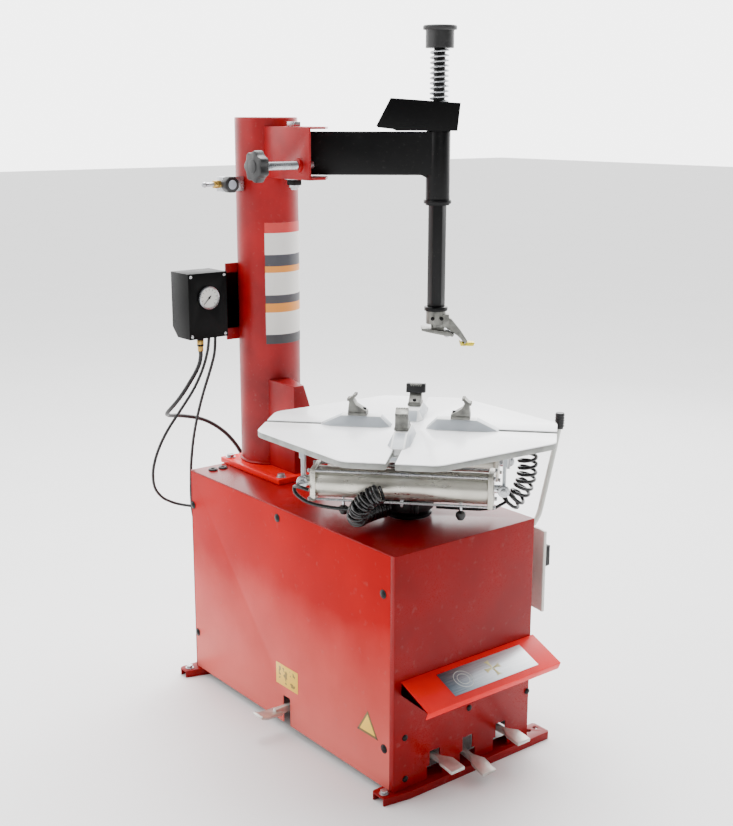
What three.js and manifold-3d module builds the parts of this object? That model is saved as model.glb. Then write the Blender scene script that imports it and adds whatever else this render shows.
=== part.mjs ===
// Swing-arm tyre changer: cabinet, column, swing arm with mount head, turntable with four
// air-driven jaws, worm drive, pedals and side bead breaker. Millimetres, +Z up. While it is
// drawn, X runs to the operator's right from the cabinet's middle, Y runs back from the
// cabinet's front face and Z runs up from the floor. The last lines move the origin to the
// bottom centre of the machine without its hoses.
import * as THREE from 'three';
import { mergeVertices } from 'three/addons/utils/BufferGeometryUtils.js';
import { ConvexGeometry } from 'three/addons/geometries/ConvexGeometry.js';
import Module from 'manifold-3d';

const wasm = await Module();
wasm.setup();

// ---------------------------------------------------------------- driving dimensions
const GAP = 0.3; // between pieces that touch
const RUNNING = 0.4; // radial room between a shaft and its hole

const CABINET_WIDTH = 440;
const HALF = CABINET_WIDTH / 2;
const CABINET_DEPTH = 878;
const CABINET_TOP = 600;
const SHEET = 3; // cabinet steel
const COVER_SHEET = 2.5;
const FRONT_RETURN = 15; // the front panel's fold onto the left side
const RAIL_HEIGHT = 20;
const RAIL_SHEET = 4;
const RAIL_SMALL_CORNER = 6;
const FRONT_RAIL_OUT = { left: 32, right: 66 }; // past the cabinet's sides
const REAR_RAIL_OUT = { left: 46, right: 42 };
const FRONT_RAIL = {
  left: -HALF - FRONT_RAIL_OUT.left, right: HALF + FRONT_RAIL_OUT.right, front: -17, back: 42,
};
const REAR_RAIL = {
  left: -HALF - REAR_RAIL_OUT.left, right: HALF + REAR_RAIL_OUT.right, front: 834, back: 896,
};
const FRONT_RAIL_CHAMFER = [73, 12]; // across and back, on its left front corner
const REAR_RAIL_CHAMFER = [82, 26];

const TRAY_WIDTH = CABINET_WIDTH - 12;
const TRAY_SHIFT = 14; // the tray stands out past the right side
const TRAY_BACK_HEIGHT = 296;
const TRAY_REACH = 97;
const TRAY_DROP = 41;
const TRAY_LIP = 20;
const TRAY_SHEET = 2.5;

const COLUMN_RADIUS = 83;
const COLUMN_WALL = 5;
const COLUMN_Y = 806;
const COLUMN_TOP = 1542;
const BASE_PLATE_THICK = 15;
const BASE_PLATE_HALF_WIDTH = 113;
const BASE_PLATE_BEHIND = 4; // past the tube's back
const BASE_PLATE_FRONT = 606;
const GUSSET_HEIGHT = 238;
const GUSSET_FRONT = 622;

const BRACKET_HALF_WIDTH = 50;
const BRACKET_SHEET = 5;
const BRACKET_FRONT = 544;
const BRACKET_BOTTOM = 1390;
const FLANGE_GAP_TOP = 7; // a washer's room over the arm
const FLANGE_GAP_BOTTOM = 4;

const PIVOT_X = -6;
const PIVOT_Y = 672;
const PIVOT_RADIUS = 14;
const ARM_ANGLE = -38.5; // from +X, as the machine stands
const ARM_REACH = 370; // pivot to shaft
const ARM_WIDTH = 50;
const ARM_HEIGHT = 108;
const ARM_WALL = 4;
const BUSH_WALL = 4;
const SLEEVE_RADIUS = 31;
const SLEEVE_DROP = 77; // below the arm
const HEX_FLATS = 41;
const HEX_BOTTOM = 1047;
const HEX_ABOVE_ARM = 12;
const SPINDLE_ROD_RADIUS = 15;
const SPRING_MEAN_RADIUS = 22.5;
const SPRING_WIRE_RADIUS = 2.5;
const SPRING_TURNS = 14;
const CAP_RADIUS = 36;
const CAP_RIM_RADIUS = 43;
const CAP_HEIGHT = 55;
const SHAFT_TOP = 1767;

const STOP_Y = 583;
const STOP_Z = 1426;
const STOP_RADIUS = 10;
const STOP_BOSS_RADIUS = 18;
const STOP_KNOB_RADIUS = 37;
const STOP_KNOB_WIDTH = 26;
const STOP_OUTSIDE = 116; // from the bracket to the knob
const STOP_INSIDE = 30;

const TABLE_Y = 214;
const TABLE_TOP = 821;
const TABLE_THICK = 16;
const TABLE_TIP = 352; // along the clamp cylinders
const TABLE_TIP_ACROSS = 328;
const TABLE_SHORT_SIDE = 98; // half of it
const TABLE_SHORT_SIDE_ACROSS = 106;
const TABLE_ANGLE = -47.5;
const SLOT_WIDTH = 20;
const SLOT_START = 56;
const HUB_RADIUS = 50;
const SPINDLE_RADIUS = 22;

const CARRIAGE_INNER = 42;
const CARRIAGE_OUTER = 215;
const CARRIAGE_HEIGHT = 25;
const CARRIAGE_BASE = 54;
const CARRIAGE_CREST = 30;
const SHOE_WIDTH = 48;
const SHOE_HEIGHT = 14;
const JAW_RADIUS = 125;
const JAW_WIDTH = 34;
const JAW_HEIGHT = 52;
const TUBE_OFFSET = 112;
const TUBE_HEIGHT = 709;
const TUBE_RADIUS = 37;
const TUBE_HALF = 214;
const HEAD_THICK = 14;
const CLAMP_ROD_RADIUS = 10;
const LUG_OFFSET = 236;

const GEARBOX_SIZE = 150;
const GEARBOX_HEIGHT = 120;
const WORM_X = -62;
const WORM_DROP = 78;
const PULLEY_Y = 352;
const GEARBOX_PULLEY_RADIUS = 62;
const MOTOR_PULLEY_RADIUS = 31;
const PULLEY_WIDTH = 22;
const GROOVE_DEPTH = 7;
const BELT_THICK = 8;
const BELT_WIDTH = 9;
const BELT_GAP = 0.8; // the belt stands still while its pulleys turn
const MOTOR_Z = 270;
const MOTOR_RADIUS = 66;
const MOTOR_LENGTH = 230;

const PEDAL_SHAFT_Y = 180;
const PEDAL_SHAFT_Z = 72;
const PEDAL_SHAFT_RADIUS = 9;
const PEDAL_REACH = 82; // in front of the cabinet
const PEDAL_DROOP = 6;
const PEDAL_LEVER_HEIGHT = 16;
const PEDAL_PLATE_WIDTH = 42;
const PEDAL_PLATE_LENGTH = 50;
const PEDAL_STEM_WIDTH = 12;
const SLOT_NARROW = 32;
const SLOT_WIDE = 49;
const SLOT_STEP = 54;
const SLOT_TOP = 90;
const PEDALS = [
  { name: 'rotate_pedal', x: -92, tilt: 0 },
  { name: 'clamp_pedal', x: 14, tilt: 10 }, // stands latched down, the others stand level
  { name: 'breaker_pedal', x: 124.5, tilt: 0 },
];
const SIDE_PEDAL_Y = 429;
const SIDE_PEDAL_PIVOT_X = -90;
const SIDE_PEDAL_REACH = 92;

const BREAKER_HINGE_X = HALF + 48;
const BREAKER_HINGE_Y = 720;
const BREAKER_TIP_X = HALF + 136;
const BREAKER_TIP_Y = 92;
const BREAKER_Z = 441;
const BREAKER_BAR = 54;
const BREAKER_PIN_RADIUS = 14;
const BREAKER_ROD_Y = 430;
const BREAKER_CYLINDER_RADIUS = 88;
const BREAKER_CYLINDER_LENGTH = 170;
const BREAKER_ROD_RADIUS = 11;
const BLADE_RADIUS = 260; // of its curve
const BLADE_SHEET = 9;
const BLADE_SPREAD = 22; // degrees each side of its middle
const BLADE_LOW = 329;
const BLADE_HIGH = 543;
const BLADE_FROM_TIP = 42;
const BLADE_PIN_OUT = 10; // from the arm's side
const SWIVEL_ROOM = 2; // from the blade's swivel block to the arm, so the blade can rock
const ROD_SLOT = { back: 30, front: 48, half: 17 }; // the arm's slot, long enough for its whole swing
const ROD_NUT_OUT = 9; // the nut's corners clear the arm when it stands fully open
const ROD_NUT_THICK = 16;
const PAD_THICK = 18;
const fromSide = ([out, y, z]) => [HALF + out, y, z]; // out from the cabinet's right side
const HANDLE_LINE = [
  [78, 114, 492], [92, 108, 518], [118, 100, 556], [135, 100, 606], [153, 100, 668], [168, 100, 720],
  [185, 100, 786],
].map(fromSide);
const GRIP_LINE = [[183, 100, 776], [185, 100, 790], [185, 100, 818]].map(fromSide);
const HANDLE_RADIUS = 7;
const GRIP_RADIUS = 13;

const BOX_LEFT = -254;
const BOX_WIDTH = 117;
const BOX_FRONT = 800;
const BOX_DEPTH = 88;
const BOX_BOTTOM = 975;
const BOX_HEIGHT = 172;
const BOX_CHAMFER = 26;
const WEB_LEFT = -113;
const DIAL_RADIUS = 30;
const FITTING_LOW = BOX_BOTTOM - 38;

const HOSE_RADIUS = 5.5;
const THIN_HOSE_RADIUS = 4;
const CURLY_RADIUS = 25; // outside of its turns

// ---------------------------------------------------------------- worked-out places
const CABINET_BOTTOM = RAIL_HEIGHT + GAP;
const PLATE_TOP = CABINET_TOP + GAP + BASE_PLATE_THICK;
const BRACKET_TOP = BRACKET_BOTTOM + 2 * BRACKET_SHEET + FLANGE_GAP_BOTTOM + ARM_HEIGHT + FLANGE_GAP_TOP;
const ARM_BOTTOM = BRACKET_BOTTOM + BRACKET_SHEET + FLANGE_GAP_BOTTOM;
const ARM_TOP = ARM_BOTTOM + ARM_HEIGHT;
const TABLE_UNDER = TABLE_TOP - TABLE_THICK;
const DEG = Math.PI / 180;

// ---------------------------------------------------------------- paints and metals
const RED = { color: 0xb03038, roughness: 0.35, metalness: 0.1 };
const BLACK = { color: 0x101012, roughness: 0.5, metalness: 0.0 };
const SATIN_BLACK = { color: 0x08080a, roughness: 0.4, metalness: 0.1 };
const TABLE_PAINT = { color: 0xe6e8ea, roughness: 0.45, metalness: 0.1 };
const ZINC = { color: 0xb8bcc0, roughness: 0.35, metalness: 0.8 };
const CAST = { color: 0x9a9a96, roughness: 0.5, metalness: 0.6 };
const ALUMINIUM = { color: 0xc4c2b8, roughness: 0.35, metalness: 0.7 };
const DARK_CAST = { color: 0x3a3e42, roughness: 0.6, metalness: 0.3 };
const MOTOR_GREY = { color: 0x5a6470, roughness: 0.5, metalness: 0.3 };
const RUBBER = { color: 0x141414, roughness: 0.85, metalness: 0.0 };
const YELLOW = { color: 0xf0dc20, roughness: 0.45, metalness: 0.0 };
const DIAL_WHITE = { color: 0xe8e8e4, roughness: 0.4, metalness: 0.0 };
const GREY_WHITE = { color: 0xd0d4d0, roughness: 0.5, metalness: 0.1 };

// ---------------------------------------------------------------- solid geometry
function toSolid(geometry) {
  const bare = geometry.clone();
  bare.deleteAttribute('normal');
  bare.deleteAttribute('uv');
  const merged = mergeVertices(bare, 1e-4);
  return new wasm.Manifold(new wasm.Mesh({
    numProp: 3,
    vertProperties: new Float32Array(merged.attributes.position.array),
    triVerts: new Uint32Array(merged.index.array),
  }));
}

function fromSolid(manifold) {
  const mesh = manifold.getMesh();
  const geometry = new THREE.BufferGeometry();
  geometry.setAttribute('position', new THREE.BufferAttribute(new Float32Array(mesh.vertProperties), 3));
  geometry.setIndex(new THREE.BufferAttribute(new Uint32Array(mesh.triVerts), 1));
  geometry.computeVertexNormals();
  return geometry;
}

function join(...geometries) {
  return fromSolid(geometries.map(toSolid).reduce((sum, next) => sum.add(next)));
}

function cut(geometry, ...tools) {
  return fromSolid(tools.map(toSolid).reduce((rest, tool) => rest.subtract(tool), toSolid(geometry)));
}

function common(geometry, other) {
  return fromSolid(toSolid(geometry).intersect(toSolid(other)));
}

function block(low, high) {
  const size = high.map((value, axis) => value - low[axis]);
  const middle = high.map((value, axis) => (value + low[axis]) / 2);
  return new THREE.BoxGeometry(...size).translate(...middle);
}

// The extrusion's own axes laid on the world's, so that it runs along the named axis.
const LAID = {
  x: new THREE.Matrix4().makeBasis(
    new THREE.Vector3(0, 1, 0), new THREE.Vector3(0, 0, 1), new THREE.Vector3(1, 0, 0)),
  y: new THREE.Matrix4().makeBasis(
    new THREE.Vector3(1, 0, 0), new THREE.Vector3(0, 0, 1), new THREE.Vector3(0, -1, 0)),
  z: new THREE.Matrix4(),
};

// An outline in the two other axes, in X, Y, Z order, run along one axis from low to high.
function prism(axis, outline, low, high, curveSegments = 6) {
  const shape = outline instanceof THREE.Shape
    ? outline : new THREE.Shape(outline.map(([u, v]) => new THREE.Vector2(u, v)));
  const depth = high - low;
  const geometry = new THREE.ExtrudeGeometry(shape, { depth, bevelEnabled: false, curveSegments });
  geometry.translate(0, 0, axis === 'y' ? -high : low);
  return geometry.applyMatrix4(LAID[axis]);
}

// A round bar along an axis; centre gives the two other coordinates, in X, Y, Z order.
function bar(axis, centre, radius, low, high, sides = 20) {
  const geometry = new THREE.CylinderGeometry(radius, radius, high - low, sides);
  geometry.translate(0, (high + low) / 2, 0);
  if (axis === 'x') geometry.rotateZ(-Math.PI / 2).translate(0, centre[0], centre[1]);
  if (axis === 'y') geometry.translate(centre[0], 0, centre[1]);
  if (axis === 'z') geometry.rotateX(Math.PI / 2).translate(centre[0], centre[1], 0);
  return geometry;
}

// A profile of [radius, height] points turned about a vertical axis.
function turned(profile, sides = 24) {
  const points = profile.map(([radius, height]) => new THREE.Vector2(radius, height));
  return new THREE.LatheGeometry(points, sides).rotateX(Math.PI / 2);
}

function ring(radius, sides) {
  return new THREE.Shape(Array.from({ length: sides }, (_, i) => {
    const angle = (2 * Math.PI * i) / sides;
    return new THREE.Vector2(radius * Math.cos(angle), radius * Math.sin(angle));
  }));
}

// A round section carried along a smooth line through the points.
function swept(points, radius, sides, steps) {
  const path = new THREE.CatmullRomCurve3(points.map((point) => new THREE.Vector3(...point)));
  return new THREE.ExtrudeGeometry(ring(radius, sides), { steps, extrudePath: path, bevelEnabled: false });
}

function hexOutline(flats, turn = 0) {
  const corner = flats / Math.sqrt(3);
  return Array.from({ length: 6 }, (_, i) => {
    const angle = turn + (Math.PI * i) / 3;
    return [corner * Math.cos(angle), corner * Math.sin(angle)];
  });
}

function shifted(outline, u, v) {
  return outline.map(([a, b]) => [a + u, b + v]);
}

// ---------------------------------------------------------------- the scene graph
const machine = new THREE.Group();
const hoses = new THREE.Group();
machine.add(hoses);

function place(parent, name, geometry, finish) {
  const mesh = new THREE.Mesh(geometry, new THREE.MeshStandardMaterial(finish));
  mesh.name = name;
  parent.add(mesh);
  return mesh;
}

// ---------------------------------------------------------------- cabinet and rails
function pedalSlot(x, low, high) {
  const narrow = SLOT_NARROW / 2;
  const wide = SLOT_WIDE / 2;
  const outline = [
    [x - wide, 0], [x + wide, 0], [x + wide, SLOT_STEP], [x + narrow, SLOT_STEP],
    [x + narrow, SLOT_TOP], [x - narrow, SLOT_TOP], [x - narrow, SLOT_STEP], [x - wide, SLOT_STEP],
  ];
  return prism('y', outline, low, high);
}

function buildCabinet() {
  const outside = block([-HALF, 0, CABINET_BOTTOM], [HALF, CABINET_DEPTH, CABINET_TOP]);
  const inside = block([-HALF + SHEET, SHEET, 0], [HALF - SHEET, CABINET_DEPTH + 1, CABINET_TOP - SHEET]);
  const leftOpening = block(
    [-HALF - 1, FRONT_RETURN, 0], [-HALF + SHEET + 1, CABINET_DEPTH + 1, CABINET_TOP - SHEET]);
  const spindleHole = bar('z', [0, TABLE_Y], SPINDLE_RADIUS + 4, CABINET_TOP - 10, CABINET_TOP + 10);
  const rodHole = bar('x', [BREAKER_ROD_Y, BREAKER_Z], BREAKER_ROD_RADIUS + 12, HALF - 10, HALF + 10);
  const slots = PEDALS.map((pedal) => pedalSlot(pedal.x, -1, SHEET + 1));
  place(machine, 'cabinet_shell', cut(outside, inside, leftOpening, spindleHole, rodHole, ...slots), RED);

  const coverBack = CABINET_DEPTH - SHEET - GAP;
  const sideSlot = block([-HALF - 1, SIDE_PEDAL_Y - 15, CABINET_BOTTOM - 1], [-HALF + 9,
      SIDE_PEDAL_Y + 15, 96]);
  const cover = block(
    [-HALF, FRONT_RETURN + GAP, CABINET_BOTTOM],
    [-HALF + COVER_SHEET, coverBack - GAP, CABINET_TOP - SHEET - GAP]);
  place(machine, 'left_side_cover', cut(cover, sideSlot), RED);

  const rear = block(
    [-HALF, coverBack, CABINET_BOTTOM], [HALF - SHEET - GAP, CABINET_DEPTH, CABINET_TOP - SHEET - GAP]);
  const gland = bar('y', [HALF - 60, 110], 13, CABINET_DEPTH - 1, CABINET_DEPTH + 22, 16);
  const glandBore = bar('y', [HALF - 60, 110], 5, CABINET_DEPTH - 9, CABINET_DEPTH + 23, 12);
  place(machine, 'rear_panel', cut(join(rear, gland), glandBore), RED);

  const rail = ({ left, right, front, back }, [across, deep]) => {
    const corner = RAIL_SMALL_CORNER;
    const solid = prism('z', [
      [left, front + deep], [left + across, front], [right - corner, front], [right, front + corner],
      [right, back - corner], [right - corner, back], [left + corner, back], [left, back - corner],
    ], 0, RAIL_HEIGHT);
    const under = block(
      [left - 1, front + deep + RAIL_SHEET, -1], [right + 1, back - corner - RAIL_SHEET,
          RAIL_HEIGHT - RAIL_SHEET]);
    const holes = [right - 18, right - 42].map((x) => bar(
      'z', [x, (front + deep + back) / 2], 6.5, -1, RAIL_HEIGHT + 1, 12));
    return cut(solid, under, ...holes);
  };
  place(machine, 'front_rail', rail(FRONT_RAIL, FRONT_RAIL_CHAMFER), RED);
  place(machine, 'rear_rail', rail(REAR_RAIL, REAR_RAIL_CHAMFER), RED);
}

function buildTray() {
  const slope = Math.atan2(TRAY_DROP, TRAY_REACH);
  const lipY = -TRAY_REACH + TRAY_LIP * Math.sin(slope);
  const lipZ = TRAY_BACK_HEIGHT - TRAY_DROP - TRAY_LIP * Math.cos(slope);
  const inY = TRAY_SHEET * Math.cos(slope);
  const inZ = TRAY_SHEET * Math.sin(slope);
  const outline = [
    [-GAP, TRAY_BACK_HEIGHT], [-TRAY_REACH, TRAY_BACK_HEIGHT - TRAY_DROP], [lipY, lipZ], [lipY + inY,
        lipZ + inZ],
    [-TRAY_REACH + inY + inZ, TRAY_BACK_HEIGHT - TRAY_DROP - inY + inZ],
    [-GAP - TRAY_SHEET, TRAY_BACK_HEIGHT - TRAY_SHEET * 1.2],
    [-GAP - TRAY_SHEET, TRAY_BACK_HEIGHT - 34], [-GAP, TRAY_BACK_HEIGHT - 34],
  ];
  const middle = TRAY_SHIFT;
  place(machine, 'pedal_tray',
    prism('x', outline, middle - TRAY_WIDTH / 2, middle + TRAY_WIDTH / 2), RED);
}

// ---------------------------------------------------------------- column
function columnClearance(low, high) {
  return bar('z', [0, COLUMN_Y], COLUMN_RADIUS + GAP, low, high, 36);
}

function buildColumn() {
  const back = COLUMN_Y + COLUMN_RADIUS + BASE_PLATE_BEHIND;
  const plate = block(
    [-BASE_PLATE_HALF_WIDTH, BASE_PLATE_FRONT, CABINET_TOP + GAP],
    [BASE_PLATE_HALF_WIDTH, back, PLATE_TOP]);
  const boltHoles = [-1, 1].flatMap((side) => [BASE_PLATE_FRONT + 18, back - 20].map((y) => bar(
    'z', [side * (BASE_PLATE_HALF_WIDTH - 20), y], 7, CABINET_TOP - 1, PLATE_TOP + 1, 12)));
  place(machine, 'column_base_plate', cut(plate, ...boltHoles), RED);

  const foot = PLATE_TOP + GAP;
  const shell = bar('z', [0, COLUMN_Y], COLUMN_RADIUS, foot, COLUMN_TOP, 36);
  const hollow = bar('z', [0, COLUMN_Y], COLUMN_RADIUS - COLUMN_WALL, foot - 1, COLUMN_TOP - 3, 36);
  // Welded angle that carries the gauge box.
  const boxRight = BOX_LEFT + BOX_WIDTH + GAP;
  const webEnd = -COLUMN_RADIUS + 24;
  const webY = BOX_FRONT + 42;
  const webLow = BOX_BOTTOM + 10;
  const webHigh = BOX_BOTTOM + BOX_HEIGHT - 9;
  const web = block([WEB_LEFT, webY, BOX_BOTTOM - 20], [webEnd, webY + 5, BOX_BOTTOM + 187]);
  const link = block([boxRight, webY, webLow], [webEnd, webY + 5, webHigh]);
  const tab = block([boxRight, BOX_FRONT + 8, webLow], [boxRight + 5, webY + 1, webHigh]);
  place(machine, 'column_tube', join(cut(shell, hollow), cut(join(web, link, tab), hollow)), RED);

  const top = foot + GUSSET_HEIGHT;
  const behind = COLUMN_Y - 40;
  const hull = (inset, low, high) => {
    const left = -BRACKET_HALF_WIDTH + inset;
    return new ConvexGeometry([
      [left, GUSSET_FRONT + inset, low], [62 - inset, GUSSET_FRONT + inset, low], [62 - inset, behind,
          low], [left, behind, low],
      [left, GUSSET_FRONT + inset, high], [-18 - inset, GUSSET_FRONT + inset, high], [20 - inset,
          behind, high],
      [left, behind, high],
    ].map((point) => new THREE.Vector3(...point)));
  };
  const skin = cut(hull(0, foot, top), hull(BRACKET_SHEET, foot - 1, top - BRACKET_SHEET));
  place(machine, 'column_gusset', cut(skin, columnClearance(foot - 9, top + 9)), RED);
}

function flangeOutline() {
  const half = BRACKET_HALF_WIDTH;
  return [
    [-half, BRACKET_FRONT], [0, BRACKET_FRONT], [half + 12, BRACKET_FRONT + 72],
    [half + 12, COLUMN_Y], [-half, COLUMN_Y],
  ];
}

function buildArmBracket() {
  const half = BRACKET_HALF_WIDTH;
  const web = block([-half, BRACKET_FRONT, BRACKET_BOTTOM], [-half + BRACKET_SHEET, COLUMN_Y, BRACKET_TOP]);
  const lower = prism('z', flangeOutline(), BRACKET_BOTTOM, BRACKET_BOTTOM + BRACKET_SHEET);
  const upper = prism('z', flangeOutline(), BRACKET_TOP - BRACKET_SHEET, BRACKET_TOP);
  const boss = bar('x', [STOP_Y, STOP_Z], STOP_BOSS_RADIUS, -half - 12, -half + 1, 20);
  const thread = bar('x', [STOP_Y, STOP_Z], STOP_RADIUS + RUNNING, -half - 20, -half + 20, 20);
  const pinHole = bar(
    'z', [PIVOT_X, PIVOT_Y], PIVOT_RADIUS + GAP, BRACKET_BOTTOM - 1, BRACKET_TOP + 1, 20);
  place(machine, 'arm_bracket', cut(
    join(web, lower, upper, boss), thread, pinHole, columnClearance(BRACKET_BOTTOM - 1,
        BRACKET_TOP + 1)), RED);

  const nut = prism('z', shifted(hexOutline(36), PIVOT_X, PIVOT_Y), BRACKET_BOTTOM - 18,
      BRACKET_BOTTOM - GAP);
  const pin = bar('z', [PIVOT_X, PIVOT_Y], PIVOT_RADIUS, BRACKET_BOTTOM - 18, BRACKET_TOP + 6, 20);
  const head = bar('z', [PIVOT_X, PIVOT_Y], 21, BRACKET_TOP + GAP, BRACKET_TOP + 6, 20);
  const washer = bar(
    'z', [PIVOT_X, PIVOT_Y], 24, ARM_TOP + GAP, BRACKET_TOP - BRACKET_SHEET - GAP, 20);
  place(machine, 'pivot_pin', join(nut, pin, head, washer), ZINC);

  const screw = bar(
    'x', [STOP_Y, STOP_Z], STOP_RADIUS, -half - STOP_OUTSIDE - 14, -half + BRACKET_SHEET + STOP_INSIDE, 20);
  const knobRight = -half - STOP_OUTSIDE;
  const knobLeft = knobRight - STOP_KNOB_WIDTH;
  const lobes = Array.from({ length: 56 }, (_, i) => {
    const angle = (2 * Math.PI * i) / 56;
    const radius = STOP_KNOB_RADIUS * (1 + 0.075 * Math.cos(7 * angle));
    return [STOP_Y + radius * Math.cos(angle), STOP_Z + radius * Math.sin(angle)];
  });
  const socket = bar('x', [STOP_Y, STOP_Z], STOP_RADIUS + GAP, knobRight - 14 - GAP, knobRight + 1, 20);
  place(machine, 'stop_screw', screw, ZINC);
  place(machine, 'stop_knob', cut(prism('x', lobes, knobLeft, knobRight), socket), BLACK);
}

// ---------------------------------------------------------------- gauge box and regulator
function buildGauge() {
  const left = BOX_LEFT;
  const right = BOX_LEFT + BOX_WIDTH;
  const back = BOX_FRONT + BOX_DEPTH;
  const top = BOX_BOTTOM + BOX_HEIGHT;
  const side = [
    [BOX_FRONT, BOX_BOTTOM], [back - BOX_CHAMFER, BOX_BOTTOM], [back, BOX_BOTTOM + BOX_CHAMFER],
    [back, top], [BOX_FRONT, top],
  ];
  const inner = [
    [BOX_FRONT + 3, BOX_BOTTOM + 3], [back - BOX_CHAMFER, BOX_BOTTOM + 3], [back + 1,
        BOX_BOTTOM + BOX_CHAMFER + 3],
    [back + 1, top - 3], [BOX_FRONT + 3, top - 3],
  ];
  const gaugeX = left + 60;
  const gaugeZ = BOX_BOTTOM + 107;
  const stem = bar('y', [gaugeX, gaugeZ], DIAL_RADIUS - 4 + GAP, BOX_FRONT - 1, BOX_FRONT + 4);
  const fitting = join(
    bar('z', [-208, BOX_FRONT + 25], 9, BOX_BOTTOM - 24, BOX_BOTTOM + 1, 6),
    bar('z', [-208, BOX_FRONT + 25], 6.5, FITTING_LOW, BOX_BOTTOM - 20, 12));
  place(machine, 'gauge_box', join(cut(
    prism('x', side, left, right), prism('x', inner, left + 3, right - 3), stem), fitting), BLACK);

  const face = BOX_FRONT - 7;
  const bezel = bar('y', [gaugeX, gaugeZ], DIAL_RADIUS, face, BOX_FRONT - GAP);
  const body = bar('y', [gaugeX, gaugeZ], DIAL_RADIUS - 4, face, BOX_FRONT + 30);
  const dish = bar('y', [gaugeX, gaugeZ], DIAL_RADIUS - 3, face - 1, face + 4);
  const arbor = bar('y', [gaugeX, gaugeZ], 2, face + 2, face + 8, 12);
  place(machine, 'pressure_gauge', cut(join(bezel, body), dish, arbor), DIAL_WHITE);

  const needleAngle = 225 * DEG; // at its zero stop
  const reach = DIAL_RADIUS - 8;
  const blade = prism('y', [[-7, -1.4], [reach, -0.5], [reach, 0.5], [-7, 1.4]], face + 1.2, face + 2.2);
  const boss = bar('y', [0, 0], 3, face + 1.2, face + 2.4, 12);
  const needle = join(blade, boss, bar('y', [0, 0], 1.4, face + 2, face + 6, 10));
  needle.rotateY(-needleAngle).translate(gaugeX, 0, gaugeZ);
  place(machine, 'gauge_needle', needle, BLACK);

  const portZ = 1373;
  const columnSide = -COLUMN_RADIUS - GAP;
  const block1 = block([columnSide - 66, COLUMN_Y - 19, portZ - 19], [columnSide, COLUMN_Y + 14, portZ + 19]);
  const nipple = bar('x', [COLUMN_Y - 2, portZ], 7, columnSide - 118, columnSide - 60, 14);
  const collar = bar('x', [COLUMN_Y - 2, portZ], 10, columnSide - 84, columnSide - 65, 6);
  const nippleBore = bar('x', [COLUMN_Y - 2, portZ], 3.5, columnSide - 119, columnSide - 70, 10);
  const stemBore = bar('y', [columnSide - 52, portZ], 6, COLUMN_Y - 30, COLUMN_Y - 10, 14);
  place(machine, 'air_inlet', cut(join(block1, nipple, collar), nippleBore, stemBore), ZINC);

  const knobBack = COLUMN_Y - 19 - GAP;
  const knob = bar('y', [columnSide - 52, portZ], 21, knobBack - 24, knobBack, 24);
  const knobStem = bar('y', [columnSide - 52, portZ], 5.5, knobBack - 2, knobBack + 7, 14);
  place(machine, 'regulator_knob', join(knob, knobStem), BLACK);
}

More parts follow.
